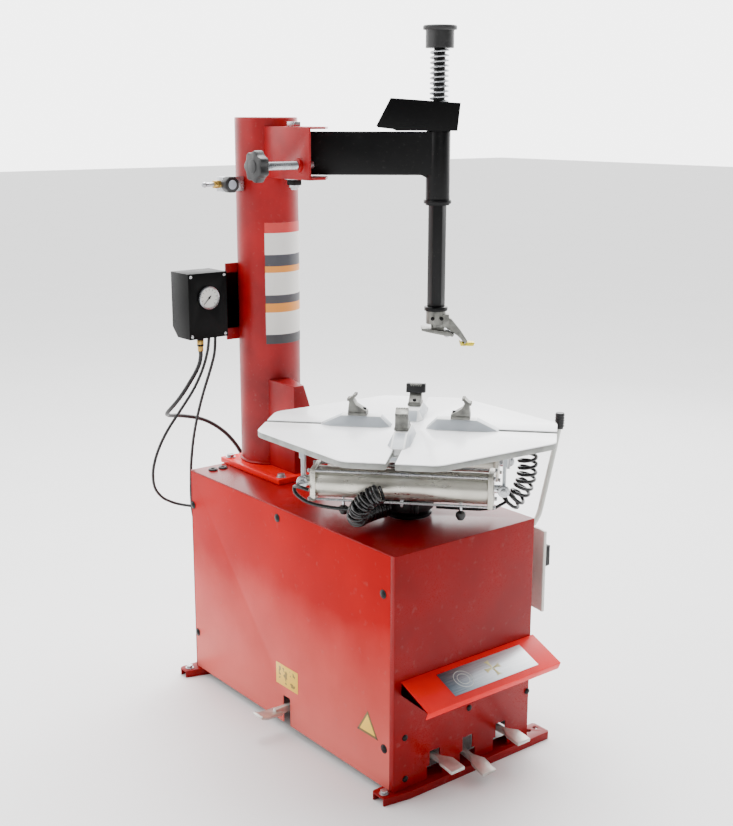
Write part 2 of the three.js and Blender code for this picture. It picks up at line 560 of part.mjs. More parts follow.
// ---------------------------------------------------------------- swing arm and shaft
function buildSwingArm() {
  const arm = new THREE.Group();
  arm.position.set(PIVOT_X, PIVOT_Y, 0);
  arm.rotation.z = ARM_ANGLE * DEG;
  machine.add(arm);

  const half = ARM_WIDTH / 2;
  const beam = join(
    block([0, -half, ARM_BOTTOM], [ARM_REACH, half, ARM_TOP]), bar('z', [0, 0], half, ARM_BOTTOM, ARM_TOP));
  const cavity = block(
    [-half - 1, -half + ARM_WALL, ARM_BOTTOM + ARM_WALL], [ARM_REACH - SLEEVE_RADIUS, half - ARM_WALL,
        ARM_TOP - ARM_WALL]);
  const bush = bar('z', [0, 0], PIVOT_RADIUS + BUSH_WALL, ARM_BOTTOM, ARM_TOP);
  const sleeve = bar('z', [ARM_REACH, 0], SLEEVE_RADIUS, ARM_BOTTOM - SLEEVE_DROP, ARM_TOP + 2, 32);
  const corner = prism('y', [
    [ARM_REACH - SLEEVE_RADIUS - 16, ARM_BOTTOM + 1], [ARM_REACH - 10, ARM_BOTTOM - 18],
    [ARM_REACH - 10, ARM_BOTTOM + 1],
  ], -12, 12);
  const pinHole = bar('z', [0, 0], PIVOT_RADIUS + RUNNING, ARM_BOTTOM - 1, ARM_TOP + 1);
  const hexBore = prism('z', shifted(hexOutline(HEX_FLATS + 2 * RUNNING), ARM_REACH, 0),
    ARM_BOTTOM - SLEEVE_DROP - 1, ARM_TOP + 4);
  place(arm, 'swing_arm', cut(
    join(cut(beam, cavity), bush, sleeve, corner), pinHole, hexBore), SATIN_BLACK);

  // Locking handle over the arm's end; the coil spring stands inside it.
  const low = ARM_TOP + 2 + GAP;
  const boxHalf = 33;
  const side = [[211, low + 12], [215, low + 8], [252, low + 4], [262, low], [416, low], [423, 1578],
      [247, 1590]];
  const within = [[262, low - 1], [412, low - 1], [418, 1573], [252, 1584]];
  const throat = bar('z', [ARM_REACH, 0], SPRING_MEAN_RADIUS + SPRING_WIRE_RADIUS + 2, low, 1600, 24);
  place(arm, 'lock_handle', cut(
    prism('y', side, -boxHalf, boxHalf), prism('y', within, -boxHalf + 4, boxHalf - 4), throat), BLACK);

  const hexTop = ARM_TOP + HEX_ABOVE_ARM;
  const shaft = join(
    prism('z', shifted(hexOutline(HEX_FLATS), ARM_REACH, 0), HEX_BOTTOM, hexTop),
    bar('z', [ARM_REACH, 0], SLEEVE_RADIUS, HEX_BOTTOM, HEX_BOTTOM + 11, 32),
    bar('z', [ARM_REACH, 0], SPINDLE_ROD_RADIUS, hexTop - 1, SHAFT_TOP - 12, 20));
  place(arm, 'hex_shaft', shaft, SATIN_BLACK);

  const capLow = SHAFT_TOP - CAP_HEIGHT;
  const cap = turned([
    [0, capLow + 43 + GAP], [SPINDLE_ROD_RADIUS + GAP, capLow + 43 + GAP], [SPINDLE_ROD_RADIUS + GAP, capLow],
    [CAP_RADIUS, capLow], [CAP_RADIUS, SHAFT_TOP - 12], [CAP_RIM_RADIUS, SHAFT_TOP - 11],
    [CAP_RIM_RADIUS, SHAFT_TOP - 3], [CAP_RIM_RADIUS - 4, SHAFT_TOP], [0, SHAFT_TOP],
  ]).translate(ARM_REACH, 0, 0);
  place(arm, 'shaft_cap', cap, BLACK);

  const springLow = hexTop + GAP + SPRING_WIRE_RADIUS;
  const springHigh = capLow - GAP - SPRING_WIRE_RADIUS;
  const turns = [];
  const perTurn = 8;
  for (let i = 0; i <= SPRING_TURNS * perTurn; i += 1) {
    const angle = (2 * Math.PI * i) / perTurn;
    const height = springLow + ((springHigh - springLow) * i) / (SPRING_TURNS * perTurn);
    turns.push([
      ARM_REACH + SPRING_MEAN_RADIUS * Math.cos(angle), SPRING_MEAN_RADIUS * Math.sin(angle), height]);
  }
  place(arm, 'shaft_spring', swept(turns, SPRING_WIRE_RADIUS, 5, SPRING_TURNS * 8), ZINC);
  buildMountHead(arm);
}

function buildMountHead(arm) {
  const top = HEX_BOTTOM - GAP;
  const clampBlock = bar('z', [ARM_REACH, 0], 26, top - 34, top, 24);
  const shoulder = block([ARM_REACH - 8, -21, top - 42], [ARM_REACH + 34, 21, top - 8]);
  const finger = prism('y', [
    [ARM_REACH + 8, top - 10], [ARM_REACH + 40, top - 20], [ARM_REACH + 66, top - 52],
    [ARM_REACH + 84, top - 80], [ARM_REACH + 78, top - 86], [ARM_REACH + 56, top - 64],
    [ARM_REACH + 26, top - 44], [ARM_REACH, top - 40],
  ], -15, 15);
  const wing = prism('y', [
    [ARM_REACH - 38, top - 44], [ARM_REACH + 30, top - 52], [ARM_REACH + 48, top - 60],
    [ARM_REACH + 44, top - 66], [ARM_REACH - 4, top - 58], [ARM_REACH - 38, top - 50],
  ], -27, 27);
  const neck = block([ARM_REACH - 12, -14, top - 56], [ARM_REACH + 22, 14, top - 30]);
  place(arm, 'mount_head', join(clampBlock, shoulder, finger, wing, neck), CAST);

  const tip = prism('y', [
    [ARM_REACH + 62, top - 78 - GAP], [ARM_REACH + 76, top - 90], [ARM_REACH + 87, top - 83],
    [ARM_REACH + 104, top - 84], [ARM_REACH + 100, top - 93], [ARM_REACH + 66, top - 93],
  ], -13, 13);
  place(arm, 'head_insert', cut(tip, prism('y', [
    [ARM_REACH + 40, top - 40], [ARM_REACH + 66 + GAP, top - 52], [ARM_REACH + 84 + 2 * GAP, top - 80],
    [ARM_REACH + 78, top - 86 - 2 * GAP], [ARM_REACH + 56 - GAP, top - 64 - GAP],
  ], -20, 20)), YELLOW);
}

// ---------------------------------------------------------------- turntable
function buildTurntable() {
  const table = new THREE.Group();
  table.position.set(0, TABLE_Y, 0);
  table.rotation.z = TABLE_ANGLE * DEG;
  machine.add(table);

  const corners = [0, 1, 2, 3].flatMap((quarter) => [-1, 1].map((end) => {
    const angle = (quarter * Math.PI) / 2;
    const tip = quarter % 2 === 0 ? TABLE_TIP : TABLE_TIP_ACROSS;
    const side = end * (quarter % 2 === 0 ? TABLE_SHORT_SIDE : TABLE_SHORT_SIDE_ACROSS);
    return [tip * Math.cos(angle) - side * Math.sin(angle), tip * Math.sin(angle) + side * Math.cos(angle)];
  }));
  const rounded = prism('z', roundedOutline(corners, 20), TABLE_UNDER, TABLE_TOP);
  const slots = [0, 1, 2, 3].map((quarter) => block(
    [SLOT_START, -SLOT_WIDTH / 2, TABLE_UNDER - 1], [TABLE_TIP + 9, SLOT_WIDTH / 2, TABLE_TOP + 1],
  ).rotateZ((quarter * Math.PI) / 2));
  place(table, 'turntable_top', cut(rounded, ...slots), TABLE_PAINT);

  const under = TABLE_UNDER - GAP;
  const hub = turned([
    [0, CABINET_TOP - 90], [SPINDLE_RADIUS, CABINET_TOP - 90], [SPINDLE_RADIUS, CABINET_TOP + 4],
    [HUB_RADIUS + 8, CABINET_TOP + 4], [HUB_RADIUS + 8, CABINET_TOP + 14], [HUB_RADIUS, CABINET_TOP + 16],
    [HUB_RADIUS, CABINET_TOP + 78], [HUB_RADIUS - 6, CABINET_TOP + 82], [HUB_RADIUS - 6, under - 22],
    [HUB_RADIUS + 2, under - 20], [HUB_RADIUS + 2, under], [0, under],
  ]);
  place(table, 'spindle_hub', hub, BLACK);

  const stroke = ['right', 'back', 'left', 'front'];
  stroke.forEach((where, quarter) => {
    const slide = new THREE.Group();
    slide.rotation.z = (quarter * Math.PI) / 2;
    table.add(slide);
    place(slide, `${where}_carriage`, carriage(quarter % 2 === 0), TABLE_PAINT);
    place(slide, `${where}_jaw`, jaw(), CAST);
  });
  buildClampCylinders(table);
  buildCurlyHoses(table);
}

// Corners cut by arcs of the given radius.
function roundedOutline(corners, radius) {
  const shape = new THREE.Shape();
  corners.forEach(([x, y], i) => {
    const here = new THREE.Vector2(x, y);
    const last = new THREE.Vector2(...corners[(i + corners.length - 1) % corners.length]);
    const next = new THREE.Vector2(...corners[(i + 1) % corners.length]);
    const start = here.clone().add(last.sub(here).setLength(radius));
    const end = here.clone().add(next.sub(here).setLength(radius));
    if (i === 0) shape.moveTo(start.x, start.y);
    else shape.lineTo(start.x, start.y);
    shape.quadraticCurveTo(x, y, end.x, end.y);
  });
  shape.closePath();
  return shape;
}

function carriage(carriesCylinder) {
  const low = TABLE_TOP + GAP;
  const high = low + CARRIAGE_HEIGHT;
  const base = CARRIAGE_BASE / 2;
  const crest = CARRIAGE_CREST / 2;
  const ramp = 26;
  const crown = new ConvexGeometry([
    [CARRIAGE_INNER, -crest, low], [CARRIAGE_INNER, crest, low],
    [CARRIAGE_INNER + ramp, -base, low], [CARRIAGE_INNER + ramp, base, low],
    [CARRIAGE_OUTER - ramp, -base, low], [CARRIAGE_OUTER - ramp, base, low],
    [CARRIAGE_OUTER, -crest, low], [CARRIAGE_OUTER, crest, low],
    [CARRIAGE_INNER + ramp, -crest, high], [CARRIAGE_INNER + ramp, crest, high],
    [CARRIAGE_OUTER - 2 * ramp, -crest, high], [CARRIAGE_OUTER - 2 * ramp, crest, high],
  ].map((point) => new THREE.Vector3(...point)));
  const stemHalf = SLOT_WIDTH / 2 - RUNNING;
  const shoeTop = TABLE_UNDER - GAP;
  const shoeLow = shoeTop - SHOE_HEIGHT;
  const shoeStart = SLOT_START + 4;
  const stem = block([shoeStart, -stemHalf, shoeTop - 1], [CARRIAGE_OUTER - 4, stemHalf, low + 1]);
  const shoe = block([shoeStart, -SHOE_WIDTH / 2, shoeLow], [CARRIAGE_OUTER, SHOE_WIDTH / 2, shoeTop]);
  const pieces = [crown, stem, shoe];
  if (carriesCylinder) {
    const yoke = block(
      [CARRIAGE_OUTER - 2, -TUBE_OFFSET - 12, shoeLow], [LUG_OFFSET + 8, TUBE_OFFSET + 12, shoeLow + 10]);
    pieces.push(yoke);
    [-1, 1].forEach((side) => {
      const y = side * TUBE_OFFSET;
      pieces.push(block([LUG_OFFSET - 4, y - 12, TUBE_HEIGHT - 12], [LUG_OFFSET + 4, y + 12, shoeLow + 1]));
      pieces.push(block([LUG_OFFSET - 4, y - 12, shoeLow - 26], [LUG_OFFSET + 8, y + 12, shoeLow + 1]));
    });
  }
  return join(...pieces);
}

// Stepped gripping jaw; its claws face both ways for inside and outside clamping.
function jaw() {
  const low = TABLE_TOP + 2 * GAP + CARRIAGE_HEIGHT;
  const half = JAW_WIDTH / 2;
  const r = JAW_RADIUS;
  const foot = block([r - 22, -half, low], [r + 22, half, low + 9]);
  const riser = prism('y', [
    [r - 12, low + 8], [r + 14, low + 8], [r + 10, low + JAW_HEIGHT - 12], [r + 24, low + JAW_HEIGHT - 4],
    [r + 20, low + JAW_HEIGHT], [r - 4, low + JAW_HEIGHT - 6], [r - 24, low + JAW_HEIGHT - 16],
    [r - 22, low + JAW_HEIGHT - 22], [r - 8, low + JAW_HEIGHT - 18],
  ], -half + 3, half - 3);
  return join(foot, riser);
}

function buildClampCylinders(table) {
  [['front', -1], ['back', 1]].forEach(([where, side]) => {
    const at = [side * TUBE_OFFSET, TUBE_HEIGHT];
    const y = at[0];
    const headHalf = TUBE_RADIUS + 3;
    const heads = [-1, 1].map((end) => {
      const inner = end * (TUBE_HALF - HEAD_THICK);
      const outer = end * TUBE_HALF;
      return block(
        [Math.min(inner, outer), y - headHalf, TUBE_HEIGHT - headHalf],
        [Math.max(inner, outer), y + headHalf, TUBE_HEIGHT + headHalf]);
    });
    const tieRods = [-1, 1].flatMap((u) => [-1, 1].map((v) => bar(
      'x', [y + u * (TUBE_RADIUS - 2), TUBE_HEIGHT + v * (TUBE_RADIUS - 2)], 3, -TUBE_HALF + 2,
          TUBE_HALF - 2, 6)));
    const boss = bar('x', at, 13, -LUG_OFFSET + 4 + GAP, -TUBE_HALF + 2, 16);
    const bore = bar('x', at, CLAMP_ROD_RADIUS + RUNNING, -TUBE_HALF + 30, TUBE_HALF + 1, 20);
    const barrel = bar('x', at, TUBE_RADIUS, -TUBE_HALF + HEAD_THICK - 1, TUBE_HALF - HEAD_THICK + 1, 32);
    place(table, `${where}_clamp_cylinder`, cut(join(barrel, ...heads, ...tieRods, boss), bore), ALUMINIUM);
    const rod = bar('x', at, CLAMP_ROD_RADIUS, -TUBE_HALF + 34, LUG_OFFSET - 4 - GAP, 20);
    place(table, `${where}_clamp_rod`, rod, ZINC);
  });
}

// ---------------------------------------------------------------- drive under the cabinet top
function buildDrive() {
  const top = CABINET_TOP - SHEET - GAP;
  const half = GEARBOX_SIZE / 2;
  const wormZ = top - WORM_DROP;
  const gearCase = join(
    block([-half - 22, TABLE_Y - half, top - GEARBOX_HEIGHT], [half, TABLE_Y + half, top - 12]),
    bar('z', [0, TABLE_Y], half + 14, top - 14, top, 32));
  const bore = bar('z', [0, TABLE_Y], SPINDLE_RADIUS + RUNNING, top - 92, top + 1);
  const wormBore = bar('y', [WORM_X, wormZ], 10 + RUNNING, TABLE_Y + 30, TABLE_Y + half + 1, 20);
  place(machine, 'gearbox', cut(gearCase, bore, wormBore), DARK_CAST);

  const pulleyBack = PULLEY_Y + PULLEY_WIDTH / 2;
  const pulleyFront = PULLEY_Y - PULLEY_WIDTH / 2;
  const groove = (radius) => [
    [0, pulleyFront], [radius, pulleyFront], [radius, pulleyFront + 3], [radius - GROOVE_DEPTH, PULLEY_Y - 5],
    [radius - GROOVE_DEPTH, PULLEY_Y + 5], [radius, pulleyBack - 3], [radius, pulleyBack], [0, pulleyBack],
  ];
  // The lathe turns about the vertical, so a pulley is turned there and laid along Y.
  const pulley = (radius, x, z) => turned(groove(radius)).rotateX(-Math.PI / 2).translate(x, 0, z);
  place(machine, 'gearbox_pulley', join(
    pulley(GEARBOX_PULLEY_RADIUS, WORM_X, wormZ), bar('y', [WORM_X, wormZ], 10, TABLE_Y + 34, PULLEY_Y, 20)),
  DARK_CAST);
  place(machine, 'motor_pulley', join(
    pulley(MOTOR_PULLEY_RADIUS, WORM_X, MOTOR_Z), bar('y', [WORM_X, MOTOR_Z], 9, PULLEY_Y,
        PULLEY_Y + 50, 20)),
  DARK_CAST);

  const loop = (grow) => {
    const large = GEARBOX_PULLEY_RADIUS - GROOVE_DEPTH + grow;
    const small = MOTOR_PULLEY_RADIUS - GROOVE_DEPTH + grow;
    const tangent = Math.acos((large - small) / (wormZ - MOTOR_Z));
    const wrap = Math.PI - tangent;
    const upper = Array.from({ length: 17 }, (_, i) => {
      const angle = Math.PI / 2 - wrap + (2 * wrap * i) / 16;
      return [WORM_X + large * Math.cos(angle), wormZ + large * Math.sin(angle)];
    });
    const lower = Array.from({ length: 13 }, (_, i) => {
      const angle = -Math.PI / 2 - tangent + (2 * tangent * i) / 12;
      return [WORM_X + small * Math.cos(angle), MOTOR_Z + small * Math.sin(angle)];
    });
    return [...upper, ...lower];
  };
  place(machine, 'drive_belt', cut(
    prism('y', loop(BELT_GAP + BELT_THICK), PULLEY_Y - BELT_WIDTH / 2, PULLEY_Y + BELT_WIDTH / 2),
    prism('y', loop(BELT_GAP), PULLEY_Y - BELT_WIDTH, PULLEY_Y + BELT_WIDTH)), RUBBER);

  const motorFront = PULLEY_Y + 30;
  const motor = join(
    bar('y', [WORM_X, MOTOR_Z], MOTOR_RADIUS, motorFront, motorFront + MOTOR_LENGTH, 32),
    bar('y', [WORM_X, MOTOR_Z], 26, motorFront - 8, motorFront + 1, 20),
    block([WORM_X - 50, motorFront + 60, MOTOR_Z + 30], [WORM_X + 50, motorFront + 150, MOTOR_Z + 92]),
    block([WORM_X - 70, motorFront + 40, MOTOR_Z - 74], [WORM_X + 70, motorFront + 190, MOTOR_Z - 58]));
  const shaftBore = bar('y', [WORM_X, MOTOR_Z], 9 + RUNNING, motorFront - 9, motorFront + 24, 20);
  place(machine, 'drive_motor', cut(motor, shaftBore), MOTOR_GREY);
}

// ---------------------------------------------------------------- pedals
function pedal(x, tilt) {
  const stem = PEDAL_STEM_WIDTH / 2;
  const plate = PEDAL_PLATE_WIDTH / 2;
  const tipY = -PEDAL_REACH;
  const plateY = tipY + PEDAL_PLATE_LENGTH;
  const z = PEDAL_SHAFT_Z;
  const leverHalf = PEDAL_LEVER_HEIGHT / 2;
  const lever = block([-stem, plateY - 6, z - leverHalf], [stem, PEDAL_SHAFT_Y, z + leverHalf]);
  const eye = bar('x', [PEDAL_SHAFT_Y, z], 19, -stem, stem, 20);
  const outline = prism('z', [
    [-stem, plateY + 16], [-plate, plateY - 8], [-plate, tipY], [plate, tipY], [plate, plateY - 8],
    [stem, plateY + 16],
  ], z - 30, z + 30);
  // The sole leaves the lever's top and droops towards its tip.
  const high = z + leverHalf;
  const bend = prism('x', [
    [plateY + 20, high - 8], [plateY - 8, high - 8], [tipY, high - 8 - PEDAL_DROOP], [tipY,
        high - PEDAL_DROOP],
    [plateY - 8, high], [plateY + 20, high],
  ], -plate - 1, plate + 1);
  const sole = common(outline, bend);
  const bore = bar('x', [PEDAL_SHAFT_Y, z], PEDAL_SHAFT_RADIUS + RUNNING, -stem - 1, stem + 1, 20);
  const geometry = cut(join(lever, eye, sole), bore);
  geometry.translate(0, -PEDAL_SHAFT_Y, -z).rotateX(tilt * DEG).translate(x, PEDAL_SHAFT_Y, z);
  return geometry;
}

function buildPedals() {
  PEDALS.forEach(({ name, x, tilt }) => place(machine, name, pedal(x, tilt), ALUMINIUM));
  const left = PEDALS[0].x - 40;
  const right = PEDALS[2].x + 40;
  const cheek = (x) => block(
    [x, SHEET + GAP, PEDAL_SHAFT_Z - 14], [x + 5, PEDAL_SHAFT_Y + 16, PEDAL_SHAFT_Z + 14]);
  place(machine, 'pedal_shaft', join(
    cheek(left), cheek(right), bar('x', [PEDAL_SHAFT_Y, PEDAL_SHAFT_Z], PEDAL_SHAFT_RADIUS, left,
        right + 5, 20)),
  ZINC);

  const z = 66;
  const tipX = -HALF - SIDE_PEDAL_REACH;
  const plateX = tipX + 60;
  const half = 19;
  const lever = block([plateX - 6, SIDE_PEDAL_Y - 6, z - 9], [SIDE_PEDAL_PIVOT_X, SIDE_PEDAL_Y + 6, z + 9]);
  const pivot = bar('y', [SIDE_PEDAL_PIVOT_X, z], 9, SIDE_PEDAL_Y - 30, SIDE_PEDAL_Y + 30, 20);
  const sole = prism('y', [
    [tipX, z + 6], [tipX + 4, z + 1], [tipX + 18, z - 4], [plateX + 8, z - 6], [plateX + 8, z + 2],
    [tipX + 20, z + 3], [tipX + 6, z + 9],
  ], SIDE_PEDAL_Y - half, SIDE_PEDAL_Y + half);
  place(machine, 'inflate_pedal', join(lever, pivot, sole), ALUMINIUM);
}

// ---------------------------------------------------------------- bead breaker
function buildBreaker() {
  const x = BREAKER_HINGE_X;
  const y = BREAKER_HINGE_Y;
  const half = BREAKER_BAR / 2;
  const low = BREAKER_Z - half;
  const high = BREAKER_Z + half;
  const ear = (bottom) => join(
    block([HALF + GAP, y - 26, bottom], [x, y + 26, bottom + 10]), bar('z', [x, y], 26, bottom,
        bottom + 10, 24));
  const bracket = join(
    block([HALF + GAP, y - 40, low - 26], [HALF + 9, y + 40, high + 26]),
    ear(high + 1), ear(low - 11), bar('z', [x, y], BREAKER_PIN_RADIUS, low - 14, high + 14, 20));
  place(machine, 'breaker_hinge', bracket, RED);

  const pad = prism('z', roundedOutline([
    [HALF + GAP, 70], [HALF + PAD_THICK, 70], [HALF + PAD_THICK, 210], [HALF + GAP, 210]], 8), 330, 510);
  place(machine, 'breaker_pad', pad, RUBBER);

  const cylinderRight = HALF - SHEET - 8;
  const cylinder = join(
    bar('x', [BREAKER_ROD_Y, BREAKER_Z], BREAKER_CYLINDER_RADIUS, cylinderRight - BREAKER_CYLINDER_LENGTH,
      cylinderRight, 32),
    bar('x', [BREAKER_ROD_Y, BREAKER_Z], 24, cylinderRight - 1, cylinderRight + 5, 20));
  const rodBore = bar('x', [BREAKER_ROD_Y, BREAKER_Z], BREAKER_ROD_RADIUS + RUNNING,
    cylinderRight - BREAKER_CYLINDER_LENGTH + 12, cylinderRight + 9, 20);
  place(machine, 'breaker_cylinder', cut(cylinder, rodBore), DARK_CAST);

  const arm = new THREE.Group();
  const angle = Math.atan2(BREAKER_TIP_Y - y, BREAKER_TIP_X - x);
  const reach = Math.hypot(BREAKER_TIP_X - x, BREAKER_TIP_Y - y);
  arm.position.set(x, y, 0);
  arm.rotation.z = angle;
  machine.add(arm);

  const rodAlong = (y - BREAKER_ROD_Y) / Math.sin(-angle);
  const beam = join(block([0, -half, low], [reach, half, high]), bar('z', [0, 0], half, low, high, 24));
  const slot = block([rodAlong - ROD_SLOT.back, -half - 1, BREAKER_Z - ROD_SLOT.half],
    [rodAlong + ROD_SLOT.front, half + 1, BREAKER_Z + ROD_SLOT.half]);
  const pinHole = bar('z', [0, 0], BREAKER_PIN_RADIUS + RUNNING, low - 1, high + 1, 20);
  const bladeAlong = reach - BLADE_FROM_TIP;
  const pinY = -half - BLADE_PIN_OUT;
  const bladePin = bar('z', [bladeAlong, pinY], 8, BREAKER_Z - 16, BREAKER_Z + 16, 16);
  const pinEar = (bottom) => block([bladeAlong - 10, pinY - 6, bottom], [bladeAlong + 10, -half + 1,
      bottom + 8]);
  place(arm, 'breaker_arm', join(
    cut(beam, slot, pinHole), pinEar(BREAKER_Z - 16), pinEar(BREAKER_Z + 8), bladePin), BLACK);

  // The blade is a curved shovel, hollow towards the tyre, on a short block that swivels.
  const bladeY = pinY - 12;
  const swivel = cut(
    block([bladeAlong - 14, bladeY - 6, BREAKER_Z - 8 + GAP],
      [bladeAlong + 14, -half - SWIVEL_ROOM, BREAKER_Z + 8 - GAP]),
    bar('z', [bladeAlong, pinY], 8 + RUNNING, BREAKER_Z - 20, BREAKER_Z + 20, 16));
  const centreY = bladeY - BLADE_RADIUS;
  const arc = (radius) => Array.from({ length: 11 }, (_, i) => {
    const turn = BLADE_SPREAD * (i / 5 - 1) * DEG;
    return [bladeAlong + radius * Math.sin(turn), centreY + radius * Math.cos(turn)];
  });
  const blade = prism('z', [...arc(BLADE_RADIUS), ...arc(BLADE_RADIUS - BLADE_SHEET).reverse()],
      BLADE_LOW, BLADE_HIGH);
  const upright = new THREE.Vector3(0, 0, 1);
  const inArm = ([u, v, w]) => new THREE.Vector3(u - x, v - y, w).applyAxisAngle(upright, -angle).toArray();
  const handle = swept(HANDLE_LINE.map(inArm), HANDLE_RADIUS, 8, 12);
  const grip = swept(GRIP_LINE.map(inArm), GRIP_RADIUS, 10, 3);
  place(arm, 'breaker_blade', join(blade, swivel, handle, grip), GREY_WHITE);

  const rodX = x + Math.cos(angle) * rodAlong;
  const nutX = rodX + (half + 7) / Math.sin(-angle);
  const rod = join(
    bar('x', [BREAKER_ROD_Y, BREAKER_Z], BREAKER_ROD_RADIUS, cylinderRight - 110, nutX + 34, 20),
    prism('x', shifted(hexOutline(52), BREAKER_ROD_Y, BREAKER_Z), nutX + ROD_NUT_OUT,
      nutX + ROD_NUT_OUT + ROD_NUT_THICK));
  place(machine, 'breaker_rod', rod, ZINC);
}

// ---------------------------------------------------------------- hoses
const GAUGE_FEED = [
  [-208, 825, FITTING_LOW - GAP], [-208, 825, 924], [-212, 826, 905], [-221, 829, 884], [-235, 834, 860],
  [-251, 841, 833], [-267, 851, 807], [-277, 867, 786], [-278, 887, 770], [-269, 909, 758], [-249, 928, 748],
  [-220, 942, 741], [-185, 950, 732], [-145, 953, 720], [-105, 951, 700], [-65, 945, 668], [-36, 938, 632],
  [-18, 930, 598], [-9, 917, 570], [-6, 902, 554], [-5, 889, 548], [-5, CABINET_DEPTH + GAP, 548],
];
const INFLATOR_FEED = [
  [-153, 840, BOX_BOTTOM - GAP], [-153, 840, 958], [-156, 842, 920], [-164, 852, 876], [-173, 871, 820],
  [-180, 891, 760], [-185, 908, 700], [-187, 921, 645], [-188, 929, 595], [-188, 933, 545], [-188, 934, 500],
  [-188, 930, 462], [-188, 918, 431], [-188, 902, 415], [-188, 889, 411], [-188, CABINET_DEPTH + GAP, 411],
];
const SIGNAL_LINE = [
  [-178, 832, BOX_BOTTOM - GAP], [-178, 832, 960], [-181, 838, 925], [-192, 848, 878], [-214, 860, 826],
  [-246, 876, 772], [-280, 890, 718], [-305, 900, 665], [-318, 908, 610], [-312, 916, 560], [-288, 923, 525],
  [-257, 927, 503], [-229, 920, 491], [-211, 903, 488], [-205, 889, 488], [-205, CABINET_DEPTH + GAP, 488],
];

function buildHoses() {
  place(hoses, 'gauge_feed_hose', swept(GAUGE_FEED, HOSE_RADIUS, 8, 32), RUBBER);
  place(hoses, 'inflator_feed_hose', swept(INFLATOR_FEED, HOSE_RADIUS, 8, 28), RUBBER);
  place(hoses, 'signal_hose', swept(SIGNAL_LINE, THIN_HOSE_RADIUS, 8, 40), RUBBER);
}

// Curly air hoses between the hub's rotary union and the clamp cylinders, each drawn as one
// fat tube of its coil's outer size. They turn with the table.
function buildCurlyHoses(table) {
  const low = CABINET_TOP + CURLY_RADIUS + 8;
  const start = HUB_RADIUS + 8;
  place(table, 'front_curly_hose', swept([
    [-48, -start + 4, low], [-72, -84, low], [-92, -124, low + 2], [-98, -172, low + 10],
    [-88, -206, low + 42], [-62, -213, low + 72], [-38, -212, low + 84],
  ], CURLY_RADIUS, 10, 9), RUBBER);
  place(table, 'side_curly_hose', swept([
    [start + 14, -34, low], [120, -36, low], [190, -38, low + 2], [240, -40, low + 16], [274, -41, low + 52],
    [286, -42, low + 96], [286, -42, TABLE_UNDER - SHOE_HEIGHT - 14],
  ], CURLY_RADIUS, 10, 9), RUBBER);
}

buildCabinet();
buildTray();
buildColumn();
buildArmBracket();
buildGauge();
buildSwingArm();
buildTurntable();
buildDrive();
buildPedals();
buildBreaker();
buildHoses();

// The origin goes to the bottom centre of everything but the hoses.
machine.remove(hoses);
machine.updateMatrixWorld(true);
const bounds = new THREE.Box3().setFromObject(machine, true);
const middle = bounds.getCenter(new THREE.Vector3());
machine.add(hoses);
machine.position.set(-middle.x, -middle.y, -bounds.min.z);

export default machine;
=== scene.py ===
"""Swing-arm tyre changer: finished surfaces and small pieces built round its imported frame."""

import logging
import math
from dataclasses import dataclass
from enum import Enum
from typing import Callable, Iterable, Optional, Sequence

import bmesh
import bpy
from mathutils import Matrix, Vector


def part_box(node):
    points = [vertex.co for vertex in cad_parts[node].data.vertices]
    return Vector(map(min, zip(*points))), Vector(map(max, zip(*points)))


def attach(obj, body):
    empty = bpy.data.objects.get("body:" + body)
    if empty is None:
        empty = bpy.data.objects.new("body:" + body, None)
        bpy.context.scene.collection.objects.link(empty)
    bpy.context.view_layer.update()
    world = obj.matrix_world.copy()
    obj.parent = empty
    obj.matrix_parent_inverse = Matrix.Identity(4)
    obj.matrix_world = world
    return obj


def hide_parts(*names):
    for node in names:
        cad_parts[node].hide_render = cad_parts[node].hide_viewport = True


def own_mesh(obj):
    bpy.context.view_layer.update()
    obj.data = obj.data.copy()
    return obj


LOG = logging.getLogger("tyre_changer")
Point = Sequence[float]
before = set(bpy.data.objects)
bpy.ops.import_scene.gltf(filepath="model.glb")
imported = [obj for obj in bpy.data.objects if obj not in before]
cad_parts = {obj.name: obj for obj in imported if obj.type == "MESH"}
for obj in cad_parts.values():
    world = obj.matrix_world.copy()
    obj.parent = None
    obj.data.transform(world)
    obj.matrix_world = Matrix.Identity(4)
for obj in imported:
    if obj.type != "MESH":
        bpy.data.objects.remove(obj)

# The pieces are drawn in millimetres: X to the operator's right from the cabinet's middle,
# Y back from the cabinet's front face, Z up from the floor.
HALF = 220.0
DEPTH = 878.0
TOP = 600.0
COLUMN_Y = 806.0
COLUMN_R = 83.0
TABLE_Y = 214.0
TABLE_TURN = -47.5
PIVOT = (-6.0, 672.0)
ARM_TURN = -38.5
ARM_REACH = 370.0
HINGE = (268.0, 720.0)
BLADE_TIP = (356.0, 92.0)


def to_frame() -> Matrix:
    """Works out the change from drawing millimetres to the frame's metres.

    Returns:
        A matrix that scales and shifts, found from the cabinet's own corner.
    """
    low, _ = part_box("cabinet_shell")
    return Matrix.Translation((low.x + HALF / 1000, low.y, 0)) @ Matrix.Scale(0.001, 4)


FRAME = to_frame()
TABLE = Matrix.Translation((0, TABLE_Y, 0)) @ Matrix.Rotation(math.radians(TABLE_TURN), 4, "Z")
ARM = Matrix.Translation((*PIVOT, 0)) @ Matrix.Rotation(math.radians(ARM_TURN), 4, "Z")
BREAKER = Matrix.Translation((*HINGE, 0)) @ Matrix.Rotation(
    math.atan2(BLADE_TIP[1] - HINGE[1], BLADE_TIP[0] - HINGE[0]), 4, "Z")
PLAIN = Matrix.Identity(4)


